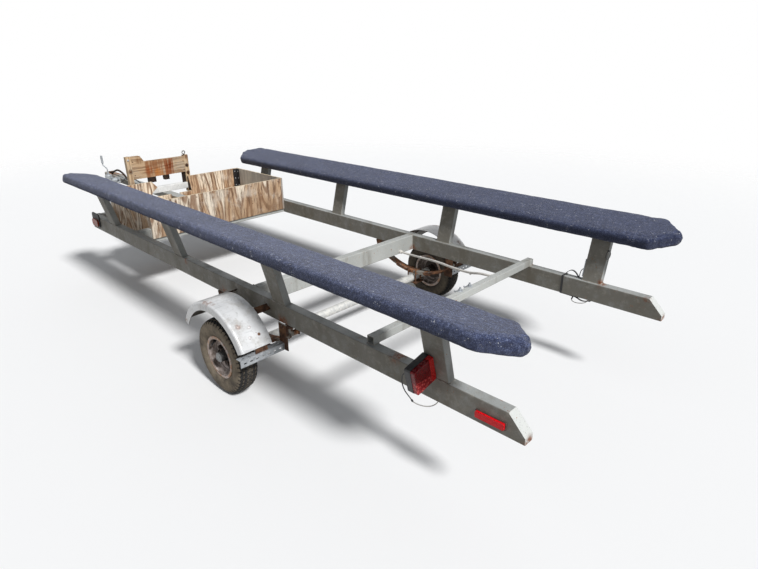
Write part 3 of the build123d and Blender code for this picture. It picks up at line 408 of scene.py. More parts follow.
def plywood():
    f = Finish("weathered_plywood", roughness=0.78, specular=0.25)
    flat = f.band(f.calc("ABSOLUTE", f.facing("Z")), 0.5, 0.6)

    # Places drawn out along the grain, which runs up a wall and along the floor
    def grained(share):
        return f.mix(flat, f.stretched((1.0, 1.0, share)), f.stretched((share, 1.0, 1.0)))

    figure = f.noise(5.0, 1.5, 0.45, grained(0.20), 0.3)
    rings = f.calc("SINE", f.both(figure, 84.0))
    broad = f.calc("SINE", f.both(figure, 23.0))
    strands = f.noise(54.0, 5.0, 0.7, grained(0.08))
    fine = f.noise(120.0, 5.0, 0.75, grained(0.10))
    f.tone = shade(230, 216, 196)
    f.lay(f.band(broad, -0.9, 0.9), (186, 156, 126))
    f.lay(f.band(rings, 0.1, 0.9, 0.0, 0.8), (128, 95, 69))
    f.lay(f.band(strands, 0.50, 0.60, 0.0, 0.85), (106, 77, 56))
    f.lay(f.band(fine, 0.50, 0.64, 0.0, 0.7), (82, 61, 48))
    f.lay(f.blots(9.0, 5.0, 0.65, 0.50, 0.68, 0.0, 0.42), (226, 216, 202))
    # Painted shade: the right wall is greyer
    shaded_right_wall = f.band(f.along("Y"), -0.600, -0.604, 0.0, 0.8)
    f.lay(f.both(shaded_right_wall, f.band(fine, 0.3, 0.5, 0.7, 1.0)), (164, 163, 160))
    low = f.band(f.along("Z"), rail_top + 0.10, rail_top - 0.02, 0.0, 0.45)
    f.lay(f.both(low, f.blots(10.0, 5.0, 0.55, 0.35, 0.6)), (136, 108, 82))
    plies = f.mix(f.blots(60.0, 4.0, 0.55, 0.4, 0.6), shade(186, 166, 138), shade(226, 212, 186))
    f.lay(f.band(f.facing("Z"), 0.8, 0.95), plies)
    return f.made((fine, 0.0014), (rings, 0.0005), rounded=0.001)


def fender_paint():
    f = Finish("worn_silver_paint")
    f.tone = f.ramp(f.noise(5.0, 5.0), (0.3, 206, 207, 208), (0.7, 232, 233, 234))
    scuffs = f.blots(60.0, 6.0, 0.7, 0.56, 0.66, 0.0, 0.6)
    f.lay(scuffs, (170, 171, 170))
    drawn = f.noise(46.0, 5.0, 0.7, f.stretched((1.0, 0.12, 1.0)))
    f.lay(f.band(drawn, 0.55, 0.68, 0.0, 0.35), (150, 152, 154))
    f.lay(f.blots(12.0, 6.0, 0.7, 0.48, 0.70, 0.0, 0.55), (158, 152, 142))
    f.lay(f.band(f.facing("Z"), -0.1, -0.5), (96, 88, 80))
    spots = f.blots(34.0, 6.0, 0.7, 0.69, 0.73)
    ragged = f.blots(48.0, 5.0, 0.7, 0.36, 0.52)
    for _, side in both_sides:
        for (x, y, z), reach, strength in fender_rust:
            spots = f.peak(spots, f.both(f.near((x, side * y, z), reach), ragged, strength))
    f.lay(spots, f.ramp(f.noise(120.0), (0.35, 92, 50, 30), (0.7, 168, 110, 72)))
    f.surface({
        "Metallic": f.band(spots, 0.0, 1.0, 0.1, 0.0),
        "Roughness": f.calc("ADD", f.band(scuffs, 0.0, 0.7, 0.28, 0.5), f.both(spots, 0.3)),
    })
    dents = ((f.noise(9.0, 2.0), 0.006), (f.noise(26.0, 2.0), 0.0012))
    return f.made((f.noise(300.0, 3.0), 0.0002), *dents, rounded=0.001)


def wheel_paint():
    f = Finish("worn_wheel_paint", roughness=0.65, specular=0.12)
    f.tone = f.ramp(f.noise(14.0, 5.0), (0.35, 202, 188, 182), (0.7, 232, 222, 218))
    rust = f.ramp(f.noise(60.0, 6.0, 0.7), (0.3, 140, 90, 60), (0.5, 198, 150, 112), (0.7, 226, 196, 166))
    reach = f.off_axle()
    f.lay(f.both(f.band(reach, 0.098, 0.106), f.blots(26.0, 6.0, 0.7, 0.42, 0.58, 0.0, 0.8)), rust)
    # Painted shade in the rim's well, patchy like grime
    shaded_well = f.both(f.band(reach, 0.106, 0.098), f.band(reach, 0.080, 0.090))
    f.lay(f.both(shaded_well, f.blots(30.0, 5.0, 0.7, 0.30, 0.60, 0.35, 0.9)), (92, 80, 72))
    # Painted shadow of the fender and tyre over the disc, darkest round the hub and left out at two sunlit
    # patches; patchy like grease
    shadow_and_grease = f.blots(11.0, 6.0, 0.65, 0.66, 0.54)
    for ahead, above in ((0.058, 0.040), (0.022, -0.062)):
        sunlit_patch = f.band(f.off_axle(ahead, above), 0.048, 0.030, 0.0, 0.85)
        shadow_and_grease = f.both(shadow_and_grease, f.calc("SUBTRACT", 1.0, sunlit_patch))
    shadow_and_grease = f.peak(shadow_and_grease, f.band(reach, 0.060, 0.045))
    f.lay(f.both(f.band(reach, 0.092, 0.074), shadow_and_grease), (18, 15, 15))
    f.lay(f.blots(120.0, 4.0, 0.7, 0.6, 0.68, 0.0, 0.8), (126, 82, 58))
    return f.made((f.noise(160.0, 5.0), 0.0006), rounded=0.0012)


def hub_metal():
    f = Finish("greasy_hub")
    out = f.calc("ABSOLUTE", f.along("Y"))
    cap = f.both(f.band(f.off_axle(), 0.0285, 0.0275), f.band(out, wheel_y + 0.009, wheel_y + 0.013))
    f.tone = f.ramp(f.noise(40.0, 5.0), (0.3, 84, 84, 84), (0.7, 146, 148, 148))
    f.lay(f.blots(70.0, 5.0, 0.7, 0.5, 0.66, 0.0, 0.7), (70, 60, 52))
    silver = f.tone
    f.tone = f.ramp(f.noise(46.0, 6.0, 0.7), (0.3, 30, 27, 25), (0.7, 74, 58, 48))
    f.lay(cap, silver)
    f.surface({"Metallic": f.band(cap, 0.0, 1.0, 0.2, 0.8), "Roughness": f.band(cap, 0.0, 1.0, 0.62, 0.32)})
    return f.made((f.noise(180.0), 0.0005), rounded=0.001)


def rubber():
    f = Finish("dusty_rubber", roughness=0.82, specular=0.3)
    # Dust on the sidewalls, less on the inner ones, whose darker rubber is painted shade
    outward = f.both(f.facing("Y"), f.along("Y"))
    side = f.peak(outward, f.both(outward, -0.75))
    f.tone = f.ramp(f.noise(24.0), (0.3, 26, 26, 26), (0.7, 42, 41, 40))
    dust = f.ramp(f.noise(36.0, 6.0, 0.7), (0.3, 108, 98, 86), (0.7, 150, 138, 120))
    f.lay(f.both(f.band(side, 0.42, 0.72), f.blots(16.0, 5.0, 0.65, 0.25, 0.6, 0.3, 0.95)), dust)
    trodden = f.band(f.off_axle(), 0.2025, 0.2045)
    f.lay(f.both(trodden, f.blots(40.0, 5.0, 0.7, 0.35, 0.65, 0.1, 0.7)), (94, 88, 80))
    return f.made((f.noise(500.0, 3.0), 0.0004))


def plastic(name, dark, light, roughness, patchy=0.6):
    f = Finish(name, roughness)
    f.tone = f.ramp(f.noise(22.0, 5.0, patchy), (0.3, *dark), (0.7, *light))
    if name == "marker_base":        # the rear pair has faded to brown
        brown = f.ramp(f.noise(60.0, 5.0), (0.3, 62, 48, 44), (0.7, 98, 74, 66))
        f.lay(f.band(f.along("X"), -1.0, -1.1), brown)
    else:
        f.lay(f.blots(60.0, 6.0, 0.7, 0.54, 0.7, 0.0, 0.45), (104, 96, 86))
    return f.made((f.noise(420.0, 2.0), 0.0002), rounded=0.001)


# Red lens: the tail lamps' darker red is painted shade, and the brighter strip up their inboard edge is a painted
# highlight; paler prisms run across their foot
def red_lens():
    f = Finish("red_lens", roughness=0.24, specular=0.2)
    up, prisms = f.along("Z"), f.cells(230.0)
    lean = f.both(f.calc("SUBTRACT", up, rail_top), math.tan(post_lean))
    out = f.calc("SUBTRACT", f.calc("SUBTRACT", f.calc("ABSOLUTE", f.along("Y")), rail_outer), lean)
    on_post = f.band(f.along("X"), -2.30, -2.31, 1.0, 0.0)
    foot = f.both(f.band(up, rail_top + 0.034, rail_top + 0.028), on_post)
    strip = f.both(f.band(out, 0.030, 0.027), on_post)
    f.tone = f.ramp(prisms, (0.1, 166, 10, 20), (0.7, 88, 3, 10))
    f.lay(foot, f.ramp(f.cells(95.0), (0.1, 236, 96, 92), (0.6, 150, 20, 28)))
    f.lay(strip, f.ramp(prisms, (0.1, 244, 62, 56), (0.7, 196, 22, 28)))
    f.lay(f.calc("SUBTRACT", 1.0, on_post), f.ramp(prisms, (0.1, 248, 30, 38), (0.7, 206, 8, 22)))
    f.lay(f.blots(30.0, 5.0, 0.55, 0.5, 0.75, 0.0, 0.15), (196, 40, 42))
    f.surface({"Coat Weight": 0.15, "Coat Roughness": 0.12})
    return f.made((prisms, 0.0008), rounded=0.0015)


def amber_lens():
    f = Finish("amber_lens", roughness=0.26, specular=0.2)
    prisms = f.cells(210.0)
    f.tone = f.ramp(prisms, (0.1, 206, 84, 34), (0.7, 142, 44, 16))
    f.lay(f.blots(34.0, 5.0, 0.65, 0.42, 0.62, 0.0, 0.65), (112, 50, 32))
    f.surface({"Coat Weight": 0.15, "Coat Roughness": 0.14})
    return f.made((prisms, 0.0008), rounded=0.002)


def make_materials():
    return {
        "painted_frame": frame_paint("weathered_grey_paint", (138, 140, 137), (168, 171, 170)),
        # A lighter copy of the frame paint for the cross members: painted sunlight
        "pale_frame": frame_paint("paler_grey_paint", (158, 160, 157), (184, 186, 183)),
        "galvanised": zinc("dull_zinc", (146, 150, 154), (178, 182, 186), 0.0),
        "rusty_steel": rusty_steel("rusty_steel"),
        "bunk_carpet": carpet(),
        "timber": timber("pale_timber", (146, 116, 88), (204, 178, 144), "Z", upright_stains),
        "plywood": plywood(),
        "fender_paint": fender_paint(),
        "wheel_paint": wheel_paint(),
        "tyre": rubber(),
        "hub_metal": hub_metal(),
        "black_plastic": plastic("black_plastic", (20, 20, 22), (36, 36, 38), 0.45),
        "red_lens": red_lens(),
        "amber_lens": amber_lens(),
        "white_plastic": plastic("white_plastic", (196, 192, 186), (226, 222, 216), 0.5),
        "white_tube": plastic("chalky_white_paint", (206, 206, 204), (232, 232, 230), 0.55),
        "board": timber("stained_board", (130, 100, 74), (188, 160, 128), "Y", board_stains, board_washes),
        "dark_rust": rusty_steel("dark_rust", gain=0.45),
        "spring_rust": rusty_steel("pale_rust", pale=0.12, gain=1.5),
        "axle": zinc("pale_zinc", (190, 191, 190), (216, 215, 210), 0.04),
        "marker_base": plastic("marker_base", (20, 20, 22), (38, 38, 40), 0.6, patchy=0.55),
        "coupler": rusty_steel("worn_coupler_paint", pale=0.22, gain=1.5),
        "weld": rusty_steel("grey_weld", pale=0.34, gain=0.8),
    }


# Nodes whose finish differs from their record slot's common one
own_finish = {
    "cross_tube_rear": "pale_frame", "crossmember_middle": "pale_frame", "crossmember_front": "pale_frame",
    "crossmember_nose": "pale_frame", "stop_board": "board", "stop_fittings": "dark_rust",
    "leaf_springs": "spring_rust", "marker_bases": "marker_base", "coupler": "coupler", "axle": "axle",
}


# Finishes every node that keeps its own shape with its record slot's material
def dress_nodes():
    for row in frame["record"]["subparts"]:
        node = frame["nodes"][row["node"]]
        node.data.materials.clear()
        node.data.materials.append(finishes[own_finish.get(row["node"], row["material_slot"])])


# Meshes

# A mesh on one body, whose edges over an angle are sharp.
def piece(name, points, faces, finish, body="chassis", sharp=None):
    form = bmesh.new()
    verts = [form.verts.new(point) for point in points]
    for face in faces:
        form.faces.new([verts[i] for i in face])
    bmesh.ops.recalc_face_normals(form, faces=form.faces)
    mesh = bpy.data.meshes.new(name)
    form.to_mesh(mesh)
    form.free()
    mesh.materials.append(finishes[finish])
    made = placed(name, mesh)
    mesh.shade_smooth()
    if sharp:
        mesh.set_sharp_from_angle(angle=math.radians(sharp))
    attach(made, body)
    return made


# Faces that join each ring of points to the next, and the last one to the first where closed
def ring_faces(rings, steps, closed=False):
    starts = [(ring * steps, (ring + 1) % rings * steps) for ring in range(rings if closed else rings - 1)]
    return [
        (here + step, here + (step + 1) % steps, there + (step + 1) % steps, there + step)
        for here, there in starts for step in range(steps)
    ]


# The same with a face across each end
def capped_faces(rings, steps):
    last = (rings - 1) * steps
    return ring_faces(rings, steps) + [tuple(reversed(range(steps))), tuple(range(last, last + steps))]


# Points on the arc from a over b to c, in a plane
def arc(a, b, c, count):
    a, b, c = complex(*a), complex(*b), complex(*c)
    ratio = (c - a) / (b - a)
    centre = a + (b - a) * (ratio - abs(ratio) ** 2) / (2j * ratio.imag)
    swing = cmath.phase((c - centre) / (a - centre))
    points = [centre + (a - centre) * cmath.rect(1.0, swing * i / count) for i in range(count + 1)]
    return [(point.real, point.imag) for point in points]


# Points on a turn or part of one, from right towards up, which are distances from its middle
def loop_points(middle, right, up, count, start=0.0, sweep=360.0):
    turns = [math.radians(start + sweep * n / count) for n in range(count + 1)]
    parts = list(zip(middle, right, up))
    return [tuple(m + r * math.cos(turn) + u * math.sin(turn) for m, r, u in parts) for turn in turns]


# Tyre
tread_repeats = 46
tread_grooves = (-0.0335, -0.0115, 0.0115, 0.0335)
groove_half, groove_depth, groove_slope = 0.0024, 0.0055, 0.0007
zigzag = 0.0026
notch_depth = 0.0045
tread_steps = (  # share of a repeat, zigzag's place, shoulder notch, rib cut
    (0.00, -1.0, 0.0, 0.0), (0.05, -0.8, 1.0, 0.0), (0.22, -0.12, 1.0, 0.0), (0.27, 0.08, 0.0, 0.0),
    (0.50, 1.0, 0.0, 0.0), (0.56, 0.76, 0.0, 1.0), (0.66, 0.36, 0.0, 1.0), (0.72, 0.12, 0.0, 0.0),
)
wall_ribs = ((0.1265, 0.0012), (0.1340, 0.0010), (0.1770, 0.0010), (0.1815, 0.0010))
wall_rib_half, wall_steps = 0.0022, 26
tyre_bead, tyre_seat, rim_flange = 0.0467, 0.1019, 0.116
shoulder_in, shoulder_drop = 0.009, 0.012
tread_ribs = (0.0425, 0.0225, 0.0, -0.0225, -0.0425)
notched_from, notched_deep = 0.0365, 0.022        # shoulder notches: outside this offset, down to this depth
cut_within, zigzag_within, bulge_lift = 0.034, 0.044, 0.003


# The tyre's outline: (offset from its middle plane, radius, share of the zigzag, share of a groove, notched)
def tyre_outline(half_width, radius):
    waist = (tyre_bead, rim_flange + bulge_lift)
    bulge = (half_width, (rim_flange + radius) / 2 - bulge_lift)
    shoulder = (half_width - shoulder_in, radius - shoulder_drop)
    half = []
    for offset, reach in arc(waist, bulge, shoulder, wall_steps)[:-1]:
        rib = sum(height * max(0.0, 1 - abs(reach - at) / wall_rib_half) for at, height in wall_ribs)
        notched = 1.0 if reach > radius - notched_deep else 0.0
        half.append((offset + min(rib, half_width - offset), reach, 0.0, 0.0, notched))
    centre_drop = radius - shoulder[1]
    across = {(offset, 0.0) for offset in (shoulder[0], *tread_ribs)}
    for groove in tread_grooves:
        for half_mouth, deep in ((groove_half, 0.0), (groove_half - groove_slope, 1.0)):
            across |= {(groove + half_mouth, deep), (groove - half_mouth, deep)}
    tread = []
    for offset, deep in sorted(across, reverse=True):
        reach = radius - centre_drop * (offset / shoulder[0]) ** 2 - deep * groove_depth
        bent = 0.0 if abs(offset) > zigzag_within else 1.0
        tread.append((offset, reach, bent, deep, 1.0 if abs(offset) > notched_from else 0.0))
    mirrored = [(-offset, *rest) for offset, *rest in reversed(half)]
    seat = [(offset, tyre_seat, 0.0, 0.0, 0.0) for offset in (-tyre_bead, tyre_bead)]
    return seat + half + tread + mirrored


def make_tyre(name, side):
    low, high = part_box(f"tyre_{name}")
    middle = (low + high) / 2
    outline = tyre_outline((high.y - low.y) / 2, (high.z - low.z) / 2)
    points = []
    for repeat in range(tread_repeats):
        for share, swing, notch, cut in tread_steps:
            turn = 2 * math.pi * (repeat + share) / tread_repeats
            for offset, reach, bend, deep, notched in outline:
                inward = notch * notched * notch_depth
                if cut and bend and not deep and abs(offset) < cut_within:
                    inward += cut * groove_depth * 0.5
                away = side * (offset + bend * swing * zigzag)
                ahead, rise = (reach - inward) * math.sin(turn), (reach - inward) * math.cos(turn)
                points.append((middle.x + ahead, middle.y + away, middle.z + rise))
    faces = ring_faces(tread_repeats * len(tread_steps), len(outline), closed=True)
    tread = piece(f"tyre_tread_{name}", points, faces, "tyre", body=f"wheel_{name}", sharp=38)
    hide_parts(f"tyre_{name}")


# Bunks: a board wrapped in carpet, whose underside is stapled and whose tips are folded
bunk_wide, bunk_thick = 0.262, 0.062
bunk_edge, bunk_corner = 0.020, 0.040
bunk_ends = (0.0, 0.0008, 0.0025, 0.0055, 0.0095, 0.0145, 0.020, 0.027, 0.035, 0.044, 0.054)
bunk_even, bunk_step = 0.065, 0.0125      # where even stations start, and their step
bunk_draw, bunk_least = 0.35, 0.012       # a rounded end draws in the sides too, down to a half width
bunk_round = 56
bunk_slack = 0.0045          # how far the carpet stands off its board at most
bunk_inset = 0.0015          # the board's surface inside the bunk's outline
cloth_frames = 20
cloth_still = 0.7            # how squarely a face looks down where the cloth is held
cloth_settings = {
    "quality": 5, "mass": 0.4, "tension_stiffness": 12.0, "compression_stiffness": 12.0,
    "shear_stiffness": 5.0, "bending_stiffness": 0.4, "vertex_group_mass": "held", "use_pressure": True,
    "uniform_pressure_force": 4.0, "shrink_min": -0.012,
}
tip_reach, tip_ease = 0.30, 0.12          # how far the rear tip's folds reach, and fade
hem_in, hem_half = 0.030, 0.007           # crease inside the outline, round the rear tip
fold_in, fold_middle = 0.026, 0.16        # folds within this of the outline, about a middle ahead of the end
lumps = ((0.0009, 9.0), (0.0007, 34.0))   # height and scale
rib_high, rib_scale = 0.0005, (6.0, 60.0, 60.0)           # faint ribs along the carpet
ripple_scale = (5.5, 12.0)                # of the folds, round the tip and up its edge
lump_limit = 0.0035
bunk_table = (  # side name, side, tilt, corner cuts behind and ahead, folds on the rear tip
    ("left", 1, math.radians(10.5), (0.110, 0.075), 0.0012),
    ("right", -1, math.radians(14.0), (0.110, 0.110), 0.0030),
)


# Points round a rounded rectangle, evenly spaced, from the middle of its underside
def rounded_section(half_width, half_height, radius, count):
    radius = min(radius, half_width, half_height)
    flat, tall = half_width - radius, half_height - radius
    bend = math.pi * radius / 2
    sides = (  # length, and the middle of the corner after it
        (flat, flat, -tall), (2 * tall, flat, tall), (2 * flat, -flat, tall), (2 * tall, -flat, -tall),
        (flat, 0.0, -tall),
    )
    found = []
    for i in range(count):
        left = 4 * (flat + tall + bend) * i / count
        for number, (length, across, level) in enumerate(sides):
            past = left - length
            if past <= bend:
                break
            left = past - bend
        way = math.pi / 2 * number
        turn, back = way + max(past, 0.0) / radius, min(past, 0.0)
        found.append((
            across + back * math.cos(way) + radius * math.sin(turn),
            level + back * math.sin(way) - radius * math.cos(turn),
        ))
    return found


# How far an edge rounded by radius stands in from its flat, at a distance from the end
def round_in(distance, radius):
    if distance >= radius:
        return 0.0
    return radius - math.sqrt(max(radius**2 - (radius - distance) ** 2, 0.0))


# Half the bunk's width at a distance from an end whose corners are cut at 45 degrees and rounded
def plan_half(distance, cut):
    half = bunk_wide / 2
    tangent = bunk_corner * math.tan(math.pi / 8)
    rounded = tangent * math.cos(math.pi / 4)
    if distance < rounded:
        return half - cut - tangent + math.sqrt(bunk_corner**2 - (bunk_corner - distance) ** 2)
    if distance < cut - rounded:
        return half - cut + distance
    if distance < cut + tangent:
        return half - bunk_corner + math.sqrt(bunk_corner**2 - (cut + tangent - distance) ** 2)
    return half


# A bunk's rear and front, its middle, and the directions across it and up from it
def bunk_frame(side_name, side, tilt):
    low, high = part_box(f"bunk_{side_name}")
    centre = (low + high) / 2
    across = Vector((0.0, math.cos(tilt), side * math.sin(tilt)))
    upwards = Vector((0.0, -side * math.sin(tilt), math.cos(tilt)))
    return low.x, high.x, centre, across, upwards


# The carpet swells off its board: cloth with a little pressure, held along the stapled underside
def swell(cover, upwards):
    mesh = cover.data
    before, normals, after = np.empty((3, len(mesh.vertices) * 3))
    mesh.vertices.foreach_get("co", before)
    mesh.vertices.foreach_get("normal", normals)
    below = normals.reshape(-1, 3) @ np.array(upwards) < -cloth_still
    held = cover.vertex_groups.new(name="held")
    held.add([int(i) for i in np.flatnonzero(below)], 1.0, "REPLACE")
    cloth = cover.modifiers.new("carpet", "CLOTH")
    for name, value in cloth_settings.items():
        setattr(cloth.settings, name, value)
    cloth.settings.effector_weights.gravity = 0.0
    cloth.collision_settings.use_collision = False
    cloth.point_cache.frame_start, cloth.point_cache.frame_end = 1, cloth_frames
    scene = bpy.context.scene
    for number in range(1, cloth_frames + 1):
        scene.frame_set(number)
    ready = cover.evaluated_get(bpy.context.evaluated_depsgraph_get())
    ready.data.vertices.foreach_get("co", after)
    cover.modifiers.remove(cloth)
    scene.frame_set(1)
    shift = (after - before).reshape(-1, 3)
    far = np.linalg.norm(shift, axis=1, keepdims=True)
    shift *= np.minimum(1.0, bunk_slack / np.maximum(far, 1e-9))
    mesh.vertices.foreach_set("co", before + shift.ravel())
    mesh.update()


def make_bunk(side_name, side, tilt, cuts, fold):
    rear, front, centre, across, upwards = bunk_frame(side_name, side, tilt)
    length = front - rear
    even = np.linspace(bunk_even, length - bunk_even, round((length - 2 * bunk_even) / bunk_step))
    stations = [*bunk_ends, *even, *[length - end for end in reversed(bunk_ends)]]
    points = []
    for along in stations:
        from_end = min(along, length - along)
        plan = plan_half(from_end, cuts[0] if along < length / 2 else cuts[1]) - bunk_inset
        edge = round_in(from_end, bunk_edge)
        half_width = max(plan - edge * bunk_draw, bunk_least)
        half_height = bunk_thick / 2 - bunk_inset - edge
        shown = rear + bunk_inset + along * (1 - 2 * bunk_inset / length)
        for flat, tall in rounded_section(half_width, half_height, bunk_edge - bunk_inset, bunk_round):
            points.append(Vector((shown, centre.y, centre.z)) + across * flat + upwards * tall)
    faces = ring_faces(len(stations), bunk_round)
    faces += [tuple(range(first, first + bunk_round)) for first in (0, (len(stations) - 1) * bunk_round)]
    cover = piece(f"carpet_{side_name}", points, faces, "bunk_carpet")
    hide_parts(f"bunk_{side_name}")
    swell(cover, upwards)
    subdivide(cover)
    crease(cover, rear, centre, across, upwards, cuts[0], fold)


def subdivide(cover):
    finer = cover.modifiers.new("finer", "SUBSURF")
    finer.levels = finer.render_levels = 1
    ready = cover.evaluated_get(bpy.context.evaluated_depsgraph_get())
    fine = bpy.data.meshes.new_from_object(ready)
    cover.modifiers.remove(finer)
    rough = cover.data
    cover.data = fine
    bpy.data.meshes.remove(rough)
    fine.name = cover.name
    fine.shade_smooth()


# Small lumps all over, a crease inside the rear tip's outline, and folds round that tip's edge
def crease(cover, rear, centre, across, upwards, cut, fold):
    mesh = cover.data
    rest = [(Vector(v.co), Vector(v.normal)) for v in mesh.vertices]
    for vert, (place, normal) in zip(mesh.vertices, rest):
        along = place.x - rear
        flat, tall = (place - centre).dot(across), (place - centre).dot(upwards)
        lift = sum(height * noise.noise(place * scale) for height, scale in lumps)
        lift += rib_high * noise.noise(place * Vector(rib_scale))
        if along < tip_reach:
            inside = min(plan_half(along, cut) - abs(flat), along)
            ease = min(1.0, (tip_reach - along) / tip_ease)
            if tall > 0.0:
                lift -= fold * ease * math.exp(-((inside - hem_in) / hem_half) ** 2)
            if inside < fold_in:
                round_tip = math.atan2(flat, fold_middle - along)
                ripple = noise.noise(Vector((round_tip * ripple_scale[0], tall * ripple_scale[1], 3.0)))
                lift += fold * 1.1 * ease * ripple
        vert.co = place + normal * min(lift, lump_limit)
    mesh.update()


# Small things that fasten, seal and carry wires: each is a mesh of many parts on one body

washer_thick, washer_wide, washer_top = 0.14, 0.95, 0.90      # shares of a bolt's width across flats
head_high, stub_wide, stub_tip = 0.62, 0.31, 0.29
bead_step, bead_sides, bead_sway = 0.0034, 7, 0.0008
dome_steps, dome_flat = 5, 0.08
sunk = 0.0005                # how far a small part goes into what it stands on


class Parts:
    """Collects the small parts of one piece in one mesh."""

    def __init__(self):
        self.points = []
        self.faces = []

    def add(self, points, faces):
        first = len(self.points)
        self.points += points
        self.faces += [tuple(first + i for i in face) for face in faces]

    # Round and capped: rows are (middle, right, up, radius)
    def tube(self, rows, sides):
        turns = [2 * math.pi * i / sides for i in range(sides)]
        self.add([
            middle + (right * math.cos(turn) + up * math.sin(turn)) * radius
            for middle, right, up, radius in rows for turn in turns
        ], capped_faces(len(rows), sides))

    # A solid turned round an axis: profile rows are (distance along the axis, radius)
    def turned(self, place, axis, profile, sides=24):
        axis = Vector(axis).normalized()
        right = axis.orthogonal().normalized()
        up = axis.cross(right)
        self.tube([(Vector(place) + axis * along, right, up, radius) for along, radius in profile], sides)

    # Washer and hexagonal head standing on a surface
    def bolt(self, place, axis, across, washer=True, stub=0.0):
        radius = across / math.sqrt(3)
        base = 0.0
        if washer:
            base, wide = across * washer_thick, across * washer_wide
            self.turned(place, axis, ((-sunk, wide), (base * 0.8, wide), (base, across * washer_top)), 28)
        top = base + across * head_high
        head = ((base - 0.0003, radius), (top - radius * 0.12, radius), (top, radius * 0.84))
        self.turned(place, axis, head, 6)
        if stub:
            self.turned(place, axis, ((top - sunk, across * stub_wide), (top + stub, across * stub_tip)), 16)

    # Slightly domed round head, as of a rivet, nail or screw
    def dome(self, place, axis, radius, height):
        turns = [math.pi / 2 * i / dome_steps for i in range(dome_steps)]
        curve = [(height * math.sin(turn), radius * math.cos(turn)) for turn in turns]
        self.turned(place, axis, [(-0.0004, radius), *curve, (height, radius * dome_flat)], 16)

    # Weld bead along straight runs: a rippled, uneven tube half sunk into the corner it fills
    def bead(self, *route, radius):
        for a, b in zip(route, route[1:]):
            a, b = Vector(a), Vector(b)
            way = (b - a).normalized()
            right = way.orthogonal().normalized()
            up = way.cross(right)
            count = max(3, round((b - a).length / bead_step))
            rows = []
            for n in range(count + 1):
                middle = a.lerp(b, n / count)
                wide = radius * (0.86 + 0.14 * (n % 2) + 0.3 * noise.noise(middle * 60.0))
                sway = Vector((noise.noise(middle * 40.0), noise.noise(middle * 40.0 + middle), 0.0))
                rows.append((middle + sway * bead_sway, right, up, wide))
            self.tube(rows, bead_sides)

    # Round rod bent along smooth points
    def rod(self, route, radius, sides=12):
        route = [Vector(p) for p in route]
        right = (route[1] - route[0]).orthogonal().normalized()
        rows = []
        for n, middle in enumerate(route):
            way = (route[min(n + 1, len(route) - 1)] - route[max(n - 1, 0)]).normalized()
            right = (right - way * right.dot(way)).normalized()
            rows.append((middle, right, way.cross(right), radius))
        self.tube(rows, sides)

    # Flat strip along points, wide along one direction and thin across it
    def strip(self, route, wide_way, width, thick, closed=False):
        route = [Vector(p) for p in route]
        wide_way = Vector(wide_way).normalized()
        points, last = [], len(route) - 1
        for n, middle in enumerate(route):
            if closed:
                way = route[(n + 1) % (last + 1)] - route[n - 1]
            else:
                way = route[min(n + 1, last)] - route[max(n - 1, 0)]
            out = way.normalized().cross(wide_way).normalized()
            for side, lift in ((-1, 0.5), (1, 0.5), (1, -0.5), (-1, -0.5)):
                points.append(middle + wide_way * side * width / 2 + out * lift * thick)
        self.add(points, ring_faces(last + 1, 4, True) if closed else capped_faces(last + 1, 4))

    def made(self, name, finish, slot=None, body="chassis", sharp=35):
        return piece(name, self.points, self.faces, finish, body, sharp)


# Weld beads: their radii, and how far they stay inside an edge
post_weld, plate_weld, tube_weld, tongue_weld = 0.0030, 0.0032, 0.0034, 0.0036
weld_in, weld_foot = 0.003, 0.002


def make_welds():
    welds = Parts()
    arms_low, arms_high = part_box("fender_arms")
    for _, side in both_sides:
        wall, rail_face, edge = side * rail_inner, side * rail_outer, side * tongue_side
        for x in post_middles:
            a, b = x - post_half, x + post_half
            inner, outer = side * post_inner, side * (rail_outer + 0.0004)
            ring = ((a, inner), (a, outer), (b, outer), (b, inner), (a, inner))
            welds.bead(*[(x, y, rail_top) for x, y in ring], radius=post_weld)
        for node in ("crossmember_middle", "crossmember_front", "crossmember_nose"):
            low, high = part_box(node)
            ring = ((low.x, rail_bottom + weld_foot), (low.x, rail_top), (high.x, rail_top),
                    (high.x, rail_bottom + weld_foot))
            welds.bead(*[(x, wall, z) for x, z in ring], radius=tube_weld)
        low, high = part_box("cross_tube_rear")
        ring = ((low.x, wall), (low.x, side * high.y), (high.x, side * high.y), (high.x, wall))
        welds.bead(*[(x, y, rail_top) for x, y in ring], radius=tube_weld)
        for node in ("crossmember_front", "crossmember_nose"):
            low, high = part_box(node)
            a, b = low.x + weld_in, high.x - weld_in
            welds.bead((a, edge, rail_top), (b, edge, rail_top), radius=tongue_weld)
        for x in (arms_low.x + 0.014, arms_high.x - 0.052):
            welds.bead((x, rail_face, 0.468), (x + 0.038, rail_face, 0.478), radius=plate_weld)
        low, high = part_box("strut_plates")
        y = side * (rail_outer + 0.006)
        welds.bead((low.x, y, rail_bottom), (high.x, y, rail_bottom), radius=plate_weld)
    low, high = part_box("stop_crossbar")
    for x in (low.x, high.x):
        welds.bead((x, weld_in - tongue_side, low.z), (x, tongue_side - weld_in, low.z), radius=tube_weld)
    low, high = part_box("jack_bracket")
    a, b = tongue_top - weld_in, rail_top + weld_in
    for x in (low.x, high.x):
        welds.bead((x, tongue_side, a), (x, tongue_side, b), radius=plate_weld)
    welds.made("weld_beads", "weld", "painted_frame", sharp=60)


